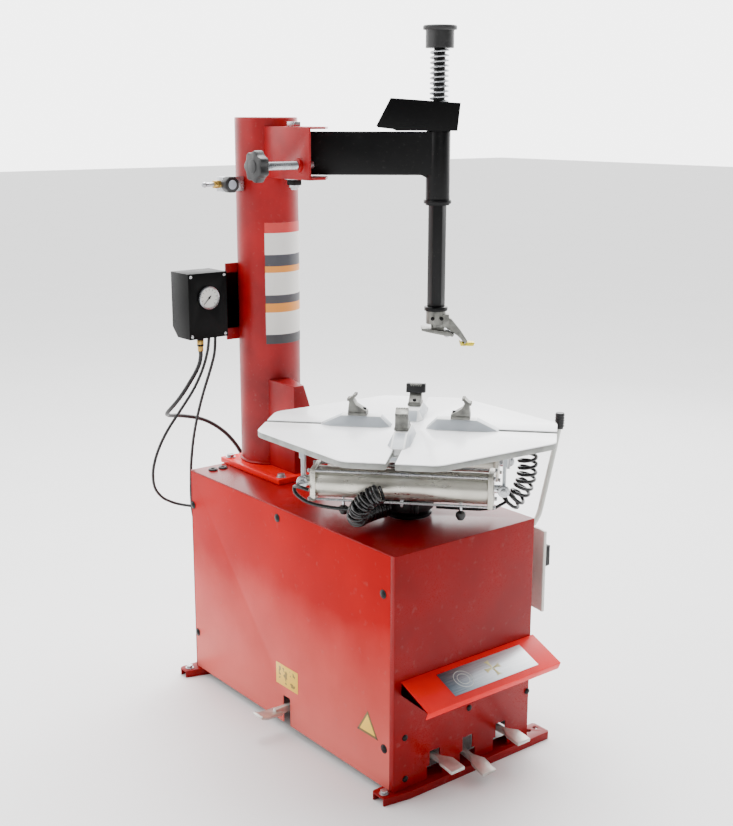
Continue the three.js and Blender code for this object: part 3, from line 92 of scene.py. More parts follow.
class Body(Enum):
    """The moving parts that pieces ride on."""

    MACHINE = "machine"
    POINTER = "gauge_pointer"
    REGULATOR = "regulator"
    STOP = "stop"
    ARM = "arm"
    LOCK = "lock"
    SHAFT = "shaft"
    TABLE = "turntable"
    LEFT = "left_slide"
    RIGHT = "right_slide"
    FRONT = "front_slide"
    BACK = "back_slide"
    WORM = "worm_pulley"
    MOTOR = "motor_drive"
    ROTATE_PEDAL = "rotate_pedal_body"
    CLAMP_PEDAL = "clamp_pedal_body"
    BREAKER_PEDAL = "breaker_pedal_body"
    INFLATE_PEDAL = "inflate_pedal_body"
    BREAKER_ARM = "breaker_arm_body"
    BLADE = "breaker_blade_body"
    ROD = "breaker_rod_body"


# ---------------------------------------------------------------- shader expressions
class Sock:
    """An output socket that can be used in sums."""

    def __init__(self, graph: "Graph", socket: bpy.types.NodeSocket) -> None:
        """Keeps the socket and the graph it is in."""
        self.graph = graph
        self.socket = socket

    def math(self, operation: str, *values: object, clamp: bool = False) -> "Sock":
        """Adds a Math node.

        Args:
            operation: The Math node's operation.
            values: Its inputs, this socket among them.
            clamp: Whether the result is held between 0 and 1.

        Returns:
            The node's result.
        """
        return self.graph.node(
            "ShaderNodeMath", dict(enumerate(values)), operation=operation, use_clamp=clamp)

    def __add__(self, other: object) -> "Sock":
        """Adds."""
        return self.math("ADD", self, other)

    def __sub__(self, other: object) -> "Sock":
        """Takes away."""
        return self.math("SUBTRACT", self, other)

    def __rsub__(self, other: object) -> "Sock":
        """Takes this from a value."""
        return self.math("SUBTRACT", other, self)

    def __mul__(self, other: object) -> "Sock":
        """Multiplies."""
        return self.math("MULTIPLY", self, other)

    def __truediv__(self, other: object) -> "Sock":
        """Divides."""
        return self.math("DIVIDE", self, other)

    def __gt__(self, other: object) -> "Sock":
        """Gives 1 where this is the larger."""
        return self.math("GREATER_THAN", self, other)

    def __lt__(self, other: object) -> "Sock":
        """Gives 1 where this is the smaller."""
        return self.math("LESS_THAN", self, other)

    def __abs__(self) -> "Sock":
        """Drops the sign."""
        return self.math("ABSOLUTE", self)

    __radd__ = __add__
    __rmul__ = __mul__

    def clamped(self) -> "Sock":
        """Holds the value between 0 and 1."""
        return self.math("ADD", self, 0.0, clamp=True)

    def ramp(self, low: float, high: float) -> "Sock":
        """Runs from 0 at low to 1 at high, held outside them."""
        return ((self - low) * (1.0 / (high - low))).clamped()


class Graph:
    """The node tree of one material or world."""

    def __init__(self, name: str, world: Optional[bpy.types.World] = None) -> None:
        """Starts an empty tree in a new material, or in a world.

        Args:
            name: The material's name.
            world: The world to use in place of a material.
        """
        self.owner = world or bpy.data.materials.new(name)
        self.owner.use_nodes = True
        self.tree = self.owner.node_tree
        self.tree.nodes.clear()

    def node(self, kind: str, inputs: Optional[dict] = None, out: object = 0, **settings: object) -> Sock:
        """Adds a node.

        Args:
            kind: The node's type.
            inputs: Values or sockets for its inputs, by name or number.
            out: The output wanted, by name or number.
            settings: The node's own settings, set first.

        Returns:
            The output wanted.
        """
        node = self.tree.nodes.new(kind)
        for name, value in settings.items():
            setattr(node, name, value)
        for name, value in (inputs or {}).items():
            if isinstance(value, Sock):
                self.tree.links.new(value.socket, node.inputs[name])
            else:
                node.inputs[name].default_value = value
        return Sock(self, node.outputs[out])

    def place(self) -> Sock:
        """Gives the piece's own coordinates, in metres."""
        return self.node("ShaderNodeTexCoord", out="Object")

    def axes(self) -> tuple[Sock, Sock, Sock]:
        """Splits the piece's coordinates."""
        parts = self.node("ShaderNodeSeparateXYZ", {"Vector": self.place()})
        return tuple(Sock(self, output) for output in parts.socket.node.outputs)

    def noise(self, scale: float, detail: float = 3.0, stretch: Point = (1, 1, 1)) -> Sock:
        """Adds noise.

        Args:
            scale: Grains per metre.
            detail: Finer layers.
            stretch: How much the pattern is squeezed along each axis.

        Returns:
            Values about a half.
        """
        where = self.node("ShaderNodeMapping", {"Vector": self.place(), "Scale": tuple(stretch)})
        return self.node("ShaderNodeTexNoise", {"Vector": where, "Scale": scale, "Detail": detail})

    def mix(self, factor: object, first: object, second: object) -> Sock:
        """Mixes two colours by a factor."""
        return self.node(
            "ShaderNodeMix", {0: factor, 6: first, 7: second}, out=2, data_type="RGBA")

    def finish(self, **sockets: object) -> bpy.types.Material:
        """Ends the tree in a Principled shader.

        Args:
            sockets: Its inputs, with underscores for spaces.

        Returns:
            The material.
        """
        shader = self.node(
            "ShaderNodeBsdfPrincipled", {name.replace("_", " "): value for name, value in sockets.items()})
        self.end(shader, "ShaderNodeOutputMaterial")
        return self.owner

    def end(self, surface: Sock, kind: str) -> None:
        """Joins a shader to an output node."""
        output = self.tree.nodes.new(kind)
        self.tree.links.new(surface.socket, output.inputs["Surface"])


def shade(red: float, green: float, blue: float) -> tuple[float, float, float, float]:
    """Turns a display colour in 0 to 255 into the linear one that shaders use."""
    def linear(value: float) -> float:
        """Turns one channel."""
        part = value / 255
        return part / 12.92 if part <= 0.04045 else ((part + 0.055) / 1.055) ** 2.4
    return linear(red), linear(green), linear(blue), 1.0


@dataclass(frozen=True)
class Finish:
    """A surface with a mottled colour, uneven gloss and a fine grain."""

    name: str
    colour: tuple[float, float, float]
    second: tuple[float, float, float]
    rough: float
    slot: str
    metal: float = 0.0
    coat: float = 0.0
    gloss: float = 0.5
    mottle: float = 14.0
    grain: float = 500.0
    grain_stretch: tuple[float, float, float] = (1.0, 1.0, 1.0)
    bump: float = 0.05
    dust: tuple[float, float, float] = (150.0, 146.0, 140.0)
    dusty: float = 0.12
    # A pale tint mixed in towards the bottom: a painted reflection of the pale floor.
    painted_low_reflection: Optional[tuple[float, float, float]] = None
    painted_reflection_height: tuple[float, float] = (0.05, 0.42)

    def material(self) -> bpy.types.Material:
        """Gives the finish's material, making it the first time."""
        return bpy.data.materials.get(self.name) or self.build()

    def build(self) -> bpy.types.Material:
        """Makes the nodes.

        Returns:
            The material.
        """
        graph = Graph(self.name)
        broad = graph.noise(self.mottle, 4.0)
        fine = graph.noise(self.grain, 2.0, self.grain_stretch)
        specks = graph.noise(self.mottle * 9, 6.0)
        colour = graph.mix(broad.ramp(0.35, 0.68), shade(*self.colour), shade(*self.second))
        # Painted reflection of the pale floor: the colour turns paler towards the bottom.
        if self.painted_low_reflection:
            _, _, height = graph.axes()
            low, high = self.painted_reflection_height
            painted_reflection_mask = (height + broad * 0.16 - 0.08).ramp(high, low)
            colour = graph.mix(painted_reflection_mask * 0.62, colour, shade(*self.painted_low_reflection))
        colour = graph.mix(specks.ramp(0.62, 0.80) * self.dusty, colour, shade(*self.dust))
        rough = (self.rough + (broad - 0.5) * 0.12 + (fine - 0.5) * 0.18 + specks.ramp(0.58, 0.8) * 0.12)
        normal = graph.node(
            "ShaderNodeBump", {"Strength": self.bump, "Distance": 0.001, "Height": fine + specks * 0.4})
        return graph.finish(
            Base_Color=colour, Roughness=rough.clamped(), Metallic=self.metal, Specular_IOR_Level=self.gloss,
            Coat_Weight=self.coat, Coat_Roughness=0.12, Normal=normal)


# Painted light: the side cover's red is a lighter copy of the shell's red, standing for the light falling on
# that side.
RED_LIT_SIDE = Finish("red_paint_painted_lit_side", (176, 1, 5), (164, 1, 4), 0.42, "red_paint", gloss=0.06,
                  painted_low_reflection=(236, 128, 118), mottle=6.0, bump=0.03)
RED = Finish("red_paint_gloss", (136, 1, 5), (122, 1, 4), 0.30, "red_paint", coat=0.04, gloss=0.12,
             mottle=8.0, bump=0.03)
# Painted light: a much lighter copy of the same red for the upward-facing tray and column foot plate,
# standing for the light on their tops.
RED_LIT_TOP = Finish("red_paint_painted_lit_top", (236, 2, 8), (222, 2, 7), 0.36, "red_paint", gloss=0.15, bump=0.03)
RED_COLUMN = Finish("red_column_paint", (158, 8, 16), (126, 4, 10), 0.36, "red_paint", gloss=0.3,
                    mottle=10.0, grain=60.0, grain_stretch=(1.6, 1.6, 0.06), bump=0.04)
BLACK = Finish("black_satin_paint", (3, 3, 3), (1, 1, 2), 0.46, "black_paint", gloss=0.12, dusty=0.02)
BLACK_STEEL = Finish("black_oiled_steel", (2, 2, 3), (5, 5, 6), 0.36, "black_steel", gloss=0.2,
                     grain=220.0, grain_stretch=(1, 1, 0.1), dusty=0.06)
BLACK_PLASTIC = Finish("black_moulded_plastic", (10, 10, 11), (17, 17, 18), 0.46, "black_paint", bump=0.10)
RUBBER = Finish("hose_rubber", (17, 17, 18), (28, 28, 29), 0.46, "rubber", mottle=30.0, grain=900.0,
                bump=0.08)
CURLY = Finish("curly_hose_plastic", (12, 12, 13), (24, 24, 25), 0.22, "rubber", mottle=30.0, bump=0.03)
PAD = Finish("ribbed_rubber_pad", (24, 24, 24), (36, 35, 34), 0.75, "rubber", grain=700.0, bump=0.3,
             dusty=0.3)
TABLE_WHITE = Finish("table_grey_white_paint", (250, 251, 252), (242, 243, 245), 0.36, "table_paint",
                     coat=0.25, mottle=7.0, dust=(170, 170, 168), dusty=0.18)
# A darker grey for every face of the table that doesn't face up.
TABLE_NOT_UP_GREY = Finish("table_not_up_faces_grey", (150, 152, 148), (122, 124, 120), 0.42, "table_paint", metal=0.3,
                    mottle=30.0, dusty=0.3)
CARRIAGE_WHITE = Finish("carriage_grey_paint", (232, 233, 232), (214, 216, 215), 0.40, "table_paint",
                        coat=0.15, dust=(120, 118, 112), dusty=0.35)
# Painted shade: a darker grey-blue copy of the carriage paint for the carriages' sides.
CARRIAGE_SHADED_SIDE = Finish("carriage_paint_painted_side_shade", (176, 182, 188), (158, 164, 170), 0.36, "table_paint",
                       coat=0.15, dusty=0.2)
CASTING = Finish("jaw_casting", (132, 132, 126), (98, 98, 94), 0.46, "grey_casting", metal=0.7,
                 mottle=60.0, grain=420.0, bump=0.35, dusty=0.2)
ALUMINIUM = Finish("drawn_aluminium", (206, 203, 192), (184, 181, 170), 0.30, "aluminium", metal=0.85,
                   grain=260.0, grain_stretch=(0.1, 0.1, 1), bump=0.04)
PEDAL_CAST = Finish("pedal_aluminium", (206, 204, 198), (182, 180, 172), 0.38, "aluminium", metal=0.6,
                    mottle=40.0, bump=0.14, dusty=0.3)
ZINC = Finish("zinc_plate", (190, 192, 194), (166, 168, 172), 0.28, "zinc_steel", metal=0.9, mottle=50.0)
CHROME = Finish("polished_rod", (214, 216, 218), (200, 202, 206), 0.12, "zinc_steel", metal=1.0, dusty=0.04)
BRASS = Finish("brass_fitting", (196, 160, 84), (168, 132, 66), 0.28, "zinc_steel", metal=0.9, mottle=60.0)
DARK_CAST = Finish("dark_iron", (58, 62, 66), (44, 47, 50), 0.55, "dark_casting", metal=0.4, mottle=40.0,
                   bump=0.4, dusty=0.3)
MOTOR_PAINT = Finish("motor_paint", (86, 98, 110), (72, 82, 92), 0.42, "motor_paint", coat=0.2, dusty=0.3)
YELLOW = Finish("yellow_nylon", (236, 214, 40), (222, 196, 30), 0.40, "yellow_plastic", mottle=40.0,
                bump=0.06)
GREY_PAINT = Finish("grey_blade_paint", (226, 229, 222), (210, 214, 206), 0.38, "grey_paint", coat=0.2,
                    dust=(110, 108, 100), dusty=0.3)
DIAL_WHITE = Finish("dial_face", (226, 226, 220), (214, 214, 208), 0.35, "gauge_metal", bump=0.0, dusty=0.03)
BELT = Finish("belt_rubber", (22, 22, 22), (34, 33, 32), 0.7, "rubber", grain=800.0, bump=0.2, dusty=0.35)


# ---------------------------------------------------------------- forms
class Form:
    """A mesh in the making, drawn in millimetres."""

    def __init__(self) -> None:
        """Starts empty."""
        self.mesh = bmesh.new()

    def take(self, part: bmesh.types.BMesh, turn: Matrix = PLAIN) -> "Form":
        """Adds a part and lets it go.

        Args:
            part: The part's mesh.
            turn: Where it goes.

        Returns:
            This form.
        """
        bmesh.ops.transform(part, matrix=turn, verts=part.verts)
        bmesh.ops.recalc_face_normals(part, faces=part.faces)
        store = bpy.data.meshes.new("part")
        part.to_mesh(store)
        part.free()
        self.mesh.from_mesh(store)
        bpy.data.meshes.remove(store)
        return self

    @staticmethod
    def round_off(part: bmesh.types.BMesh, width: float, segments: int = 2, angle: float = 30.0) -> None:
        """Bevels the edges that are sharper than an angle.

        Args:
            part: The mesh.
            width: The bevel's width.
            segments: Steps across it.
            angle: The smallest turn between faces, in degrees.
        """
        if width <= 0:
            return
        limit = math.radians(angle)
        sharp = [edge for edge in part.edges
                 if len(edge.link_faces) == 2 and edge.calc_face_angle(0.0) > limit]
        bmesh.ops.bevel(
            part, geom=sharp, offset=width, offset_type="OFFSET", segments=segments, profile=0.5,
            affect="EDGES", material=-1, clamp_overlap=True)

    def block(self, low: Point, high: Point, bevel: float = 1.5, turn: Matrix = PLAIN) -> "Form":
        """Adds a block with rounded edges between two corners.

        Args:
            low: Its lowest corner.
            high: Its highest corner.
            bevel: Width of its rounded edges.
            turn: Where it goes.

        Returns:
            This form.
        """
        part = bmesh.new()
        size = Vector(high) - Vector(low)
        middle = (Vector(high) + Vector(low)) / 2
        bmesh.ops.create_cube(part, size=1.0, matrix=Matrix.Translation(middle) @ Matrix.Diagonal((*size, 1)))
        self.round_off(part, bevel)
        return self.take(part, turn)

    def bar(self, axis: str, centre: Point, radius: float, low: float, high: float,
            sides: int = 40, bevel: float = 1.0, end_radius: Optional[float] = None) -> "Form":
        """Adds a round bar along an axis.

        Args:
            axis: x, y or z.
            centre: Its two other coordinates, in x, y, z order.
            radius: At the low end.
            low: Where it starts.
            high: Where it ends.
            sides: Facets round it.
            bevel: Width of its rounded rims.
            end_radius: At the high end, if it differs.

        Returns:
            This form.
        """
        part = bmesh.new()
        bmesh.ops.create_cone(
            part, cap_ends=True, segments=sides, radius1=radius,
            radius2=radius if end_radius is None else end_radius, depth=high - low)
        self.round_off(part, bevel, angle=50.0)
        return self.take(part, laid(axis, centre, (low + high) / 2))

    def plate(self, axis: str, outline: Sequence[Point], low: float, high: float,
              bevel: float = 1.0, turn: Matrix = PLAIN) -> "Form":
        """Adds an outline run along an axis from low to high, with rounded edges.

        Args:
            axis: x, y or z.
            outline: Its corners, by the two other coordinates.
            low: Where it starts.
            high: Where it ends.
            bevel: Width of its rounded edges.
            turn: Where it goes.

        Returns:
            This form.
        """
        part = bmesh.new()
        spots = {"x": lambda u, v: (low, u, v), "y": lambda u, v: (u, low, v), "z": lambda u, v: (u, v, low)}
        corners = [part.verts.new(spots[axis](u, v)) for u, v in outline]
        face = part.faces.new(corners)
        grown = bmesh.ops.extrude_face_region(part, geom=[face])
        run = Vector([(high - low) * (name == axis) for name in "xyz"])
        moved = [item for item in grown["geom"] if isinstance(item, bmesh.types.BMVert)]
        bmesh.ops.translate(part, vec=run, verts=moved)
        self.round_off(part, bevel)
        return self.take(part, turn)

    def spun(self, profile: Sequence[Point], axis: str, centre: Point, sides: int = 48) -> "Form":
        """Adds a profile of radius and distance pairs turned about an axis.

        Args:
            profile: The pairs, in order along the section.
            axis: x, y or z.
            centre: The axis's two other coordinates.
            sides: Facets round it.

        Returns:
            This form.
        """
        part = bmesh.new()
        spots = [part.verts.new((radius, 0, along)) for radius, along in profile]
        edges = [part.edges.new(pair) for pair in zip(spots, spots[1:])]
        bmesh.ops.spin(
            part, geom=spots + edges, axis=(0, 0, 1), cent=(0, 0, 0), steps=sides, angle=2 * math.pi,
            use_merge=True)
        bmesh.ops.remove_doubles(part, verts=part.verts, dist=0.001)
        return self.take(part, laid(axis, centre, 0.0))

    def tube(self, points: Sequence[Point], radius: float, sides: int = 12) -> "Form":
        """Adds a round section carried along points, closed at both ends.

        Args:
            points: Where it runs.
            radius: Of the section.
            sides: Facets round it.

        Returns:
            This form.
        """
        line = [Vector(point) for point in points]
        part = bmesh.new()
        ahead = (line[1] - line[0]).normalized()
        turn = Vector((0, 0, 1)).rotation_difference(ahead)
        spot = Matrix.Translation(line[0]) @ turn.to_matrix().to_4x4()
        made = bmesh.ops.create_circle(part, cap_ends=True, segments=sides, radius=radius, matrix=spot)
        rim = list({edge for vert in made["verts"] for edge in vert.link_edges})
        for i in range(1, len(line)):
            after = line[min(i + 1, len(line) - 1)] - line[i - 1]
            bend = ahead.rotation_difference(after.normalized())
            ahead = after.normalized()
            grown = bmesh.ops.extrude_edge_only(part, edges=rim)["geom"]
            verts = [item for item in grown if isinstance(item, bmesh.types.BMVert)]
            rim = [item for item in grown if isinstance(item, bmesh.types.BMEdge)]
            bmesh.ops.transform(
                part, verts=verts, matrix=Matrix.Translation(line[i]) @ bend.to_matrix().to_4x4()
                @ Matrix.Translation(-line[i - 1]))
        bmesh.ops.contextual_create(part, geom=rim)
        return self.take(part)

    def hexagon(self, axis: str, centre: Point, flats: float, low: float, high: float) -> "Form":
        """Adds a hexagonal nut or bolt head."""
        corner = flats / math.sqrt(3)
        return self.plate(axis, ring_of(centre, corner, 6), low, high, 0.9)

    def copied(self, node: str, bevel: float, segments: int = 2) -> "Form":
        """Adds the frame's own solid with its edges rounded, back in millimetres.

        Args:
            node: The solid.
            bevel: Width of its rounded edges.
            segments: Steps across them.

        Returns:
            This form.
        """
        part = bmesh.new()
        part.from_mesh(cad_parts[node].data)
        bmesh.ops.transform(part, matrix=FRAME.inverted(), verts=part.verts)
        bmesh.ops.remove_doubles(part, verts=part.verts, dist=0.01)
        bmesh.ops.dissolve_limit(
            part, angle_limit=math.radians(1.0), use_dissolve_boundaries=False, verts=part.verts,
            edges=part.edges)
        self.round_off(part, bevel, segments)
        return self.take(part)

    def piece(self, name: str, finish: Finish, body: Body, replaced: Iterable[str] = (),
              turn: Matrix = PLAIN, smooth: float = 38.0) -> bpy.types.Object:
        """Makes the finished object.

        Args:
            name: Its name.
            finish: Its surface.
            body: What it rides on.
            replaced: The frame's solids that it stands for.
            turn: From the sub-assembly's own axes to the machine's.
            smooth: The sharpest turn that is shaded smooth, in degrees.

        Returns:
            The object.
        """
        bmesh.ops.transform(self.mesh, matrix=FRAME @ turn, verts=self.mesh.verts)
        data = bpy.data.meshes.new(name)
        self.mesh.to_mesh(data)
        self.mesh.free()
        data.polygons.foreach_set("use_smooth", [True] * len(data.polygons))
        data.set_sharp_from_angle(angle=math.radians(smooth))
        data.materials.append(finish.material())
        thing = bpy.data.objects.new(name, data)
        bpy.context.scene.collection.objects.link(thing)
        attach(thing, body.value)
        if replaced:
            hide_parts(*replaced)
        LOG.info("%s: %d faces", name, len(data.polygons))
        return thing


def ring_of(centre: Point, radius: float, corners: int, first: float = 0.0) -> list[tuple[float, float]]:
    """Gives a regular outline's corners, first of them at an angle in radians."""
    turns = [first + 2 * math.pi * i / corners for i in range(corners)]
    return [(centre[0] + radius * math.cos(turn), centre[1] + radius * math.sin(turn)) for turn in turns]


def laid(axis: str, centre: Point, along: float) -> Matrix:
    """Gives the turn that lays an upright part along an axis.

    Args:
        axis: x, y or z.
        centre: Its two other coordinates, in x, y, z order.
        along: How far along the axis it goes.

    Returns:
        The turn and shift.
    """
    first, second = centre
    if axis == "x":
        return Matrix.Translation((along, first, second)) @ Matrix.Rotation(math.pi / 2, 4, "Y")
    if axis == "y":
        return Matrix.Translation((first, along, second)) @ Matrix.Rotation(-math.pi / 2, 4, "X")
    return Matrix.Translation((first, second, along))


def curved(points: Sequence[Point], steps: int = 6) -> list[Vector]:
    """Draws a smooth line through points.

    Args:
        points: What it passes through.
        steps: Pieces between each two.

    Returns:
        The line's points.
    """
    spots = [Vector(point) for point in points]
    spots = [2 * spots[0] - spots[1]] + spots + [2 * spots[-1] - spots[-2]]
    line = []
    for before, start, end, after in zip(spots, spots[1:], spots[2:], spots[3:]):
        for i in range(steps):
            t = i / steps
            line.append(0.5 * (2 * start + (end - before) * t
                               + (2 * before - 5 * start + 4 * end - after) * t ** 2
                               + (3 * start - before - 3 * end + after) * t ** 3))
    return line + [spots[-2]]


def coiled(centre: Sequence[Vector], radius: float, turns: float, steps: int = 18) -> list[Vector]:
    """Winds a helix round a centre line.

    Args:
        centre: The centre line's points.
        radius: Of the helix.
        turns: How many.
        steps: Points in one turn.

    Returns:
        The helix's points.
    """
    total = int(turns * steps)
    line = []
    side = (centre[1] - centre[0]).orthogonal()
    for i in range(total + 1):
        where = i / total * (len(centre) - 1)
        k = min(int(where), len(centre) - 2)
        spot = centre[k].lerp(centre[k + 1], where - k)
        ahead = (centre[k + 1] - centre[k]).normalized()
        side = (side - ahead * side.dot(ahead)).normalized()
        angle = 2 * math.pi * i / steps
        line.append(spot + (side * math.cos(angle) + ahead.cross(side) * math.sin(angle)) * radius)
    return line


def dress(node: str, finish: Finish, body: Body, bevel: float = 1.2, segments: int = 2) -> bpy.types.Object:
    """Puts a rounded and finished copy in place of one of the frame's solids."""
    return Form().copied(node, bevel, segments).piece(f"{node}_finished", finish, body, [node])


def dress_each(body: Body, rows: Iterable[tuple]) -> None:
    """Dresses several of a body's solids, each given as a node, a finish, a bevel and its segments."""
    for node, finish, *rounding in rows:
        dress(node, finish, body, *rounding)


def bolt(form: Form, axis: str, centre: Point, face: float, out: float, flats: float = 17.0) -> Form:
    """Adds a hexagon bolt with its washer.

    Args:
        form: What it is added to.
        axis: The bolt's axis.
        centre: Its two other coordinates.
        face: Where the washer lies.
        out: 1 if the head stands along the axis, else -1.
        flats: Across the head's flats.

    Returns:
        The form.
    """
    ends = sorted((face, face + out * 2.0))
    form.bar(axis, centre, flats * 0.72, ends[0], ends[1], 32, 0.4)
    ends = sorted((face + out * 1.8, face + out * 9.0))
    return form.hexagon(axis, centre, flats, ends[0], ends[1])


# ---------------------------------------------------------------- camera and studio
@dataclass
class Studio:
    """The camera, the lights and the pale floor."""

    eye: tuple[float, float, float] = (-1873.4, -1977.2, 1553.9)
    right: tuple[float, float, float] = (0.78293, -0.62211, 0.00179)
    up: tuple[float, float, float] = (0.14549, 0.18590, 0.97174)
    lens: float = 53.9
    backdrop: tuple[float, float, float] = (0.62, 0.78, 0.0)
    dim: float = 0.3
    white: float = 5.0
    lamps: tuple[tuple, ...] = (
        ((-3.6, 1.2, 2.8), 2.8, 100.0),
        ((-1.0, -3.4, 2.6), 2.4, 12.0),
        ((0.8, 1.0, 4.6), 2.6, 330.0),
        ((3.0, 1.8, 2.2), 2.2, 40.0),
    )

    def build(self) -> None:
        """Sets up all of it."""
        self.set_camera()
        for place, size, power in self.lamps:
            self.add_lamp(Vector(place), size, power)
        self.add_world()
        self.add_floor()

    def add_world(self) -> None:
        """Makes the surroundings white behind the machine and dimmer before it."""
        world = bpy.data.worlds.new("studio_world")
        graph = Graph("studio_world", world)
        way = graph.node("ShaderNodeTexCoord", out="Generated")
        behind = graph.node(
            "ShaderNodeVectorMath", {0: way, 1: self.backdrop}, out="Value", operation="DOT_PRODUCT")
        power = self.dim + behind.ramp(-0.2, 0.65) * (self.white - self.dim)
        light = graph.node("ShaderNodeBackground", {"Color": (1, 1, 1, 1), "Strength": power})
        graph.end(light, "ShaderNodeOutputWorld")
        bpy.context.scene.world = world

    def set_camera(self) -> None:
        """Places the camera."""
        camera = bpy.data.objects.new("camera", bpy.data.cameras.new("camera"))
        camera.data.lens = self.lens
        camera.data.sensor_width = 36.0
        right, up = Vector(self.right), Vector(self.up)
        turn = Matrix((right, up, right.cross(up))).transposed().to_4x4()
        camera.matrix_world = Matrix.Translation(FRAME @ Vector(self.eye)) @ turn
        bpy.context.scene.collection.objects.link(camera)
        bpy.context.scene.camera = camera

    @staticmethod
    def add_lamp(place: Vector, size: float, power: float) -> None:
        """Adds a soft lamp that faces the machine's middle.

        Args:
            place: Where it stands, in metres.
            size: Its width, in metres.
            power: In watts.
        """
        lamp = bpy.data.objects.new("lamp", bpy.data.lights.new("lamp", "AREA"))
        lamp.data.size = size
        lamp.data.energy = power
        lamp.location = place
        lamp.rotation_euler = (Vector((0, 0, 0.7)) - place).to_track_quat("-Z", "Y").to_euler()
        bpy.context.scene.collection.objects.link(lamp)

    @staticmethod
    def add_floor() -> None:
        """Lays the floor, which is not part of the machine."""
        shape = bmesh.new()
        bmesh.ops.create_grid(shape, x_segments=2, y_segments=2, size=30.0)
        data = bpy.data.meshes.new("studio_floor")
        shape.to_mesh(data)
        shape.free()
        graph = Graph("studio_floor")
        tone = graph.mix(graph.noise(2.0), (0.86, 0.86, 0.86, 1), (0.9, 0.9, 0.9, 1))
        data.materials.append(graph.finish(Base_Color=tone, Roughness=0.9))
        floor = bpy.data.objects.new("studio_floor", data)
        bpy.context.scene.collection.objects.link(floor)


# ---------------------------------------------------------------- free hoses
@dataclass
class FreeHoses:
    """The three air hoses between the gauge box and the rear panel."""

    thick: float = 5.5
    thin: float = 4.0
    gauge_feed: tuple[Point, ...] = (
        (-208, 825, 936.7), (-208, 825, 924), (-212, 826, 905), (-221, 829, 884), (-235, 834, 860),
        (-251, 841, 833), (-267, 851, 807), (-277, 867, 786), (-278, 887, 770), (-269, 909, 758),
        (-249, 928, 748), (-220, 942, 741), (-185, 950, 732), (-145, 953, 720), (-105, 951, 700),
        (-65, 945, 668), (-36, 938, 632), (-18, 930, 598), (-9, 917, 570), (-6, 902, 554), (-5, 889, 548),
        (-5, 878.3, 548))
    inflator_feed: tuple[Point, ...] = (
        (-153, 840, 974.7), (-153, 840, 958), (-156, 842, 920), (-164, 852, 876), (-173, 871, 820),
        (-180, 891, 760), (-185, 908, 700), (-187, 921, 645), (-188, 929, 595), (-188, 933, 545),
        (-188, 934, 500), (-188, 930, 462), (-188, 918, 431), (-188, 902, 415), (-188, 889, 411),
        (-188, 878.3, 411))
    signal_line: tuple[Point, ...] = (
        (-178, 832, 974.7), (-178, 832, 960), (-181, 838, 925), (-192, 848, 878), (-214, 860, 826),
        (-246, 876, 772), (-280, 890, 718), (-305, 900, 665), (-318, 908, 610), (-312, 916, 560),
        (-288, 923, 525), (-257, 927, 503), (-229, 920, 491), (-211, 903, 488), (-205, 889, 488),
        (-205, 878.3, 488))

    def build(self) -> None:
        """Makes each hose."""
        for node, route, radius in (
                ("gauge_feed_hose", self.gauge_feed, self.thick),
                ("inflator_feed_hose", self.inflator_feed, self.thin),
                ("signal_hose", self.signal_line, self.thin)):
            line = curved(route, 4)
            hose = Form().tube(line, radius, 12).piece(f"{node}_rubber", RUBBER, Body.MACHINE, [node])
            path = [FRAME @ point for point in line]
            length = sum((b - a).length for a, b in zip(path, path[1:]))


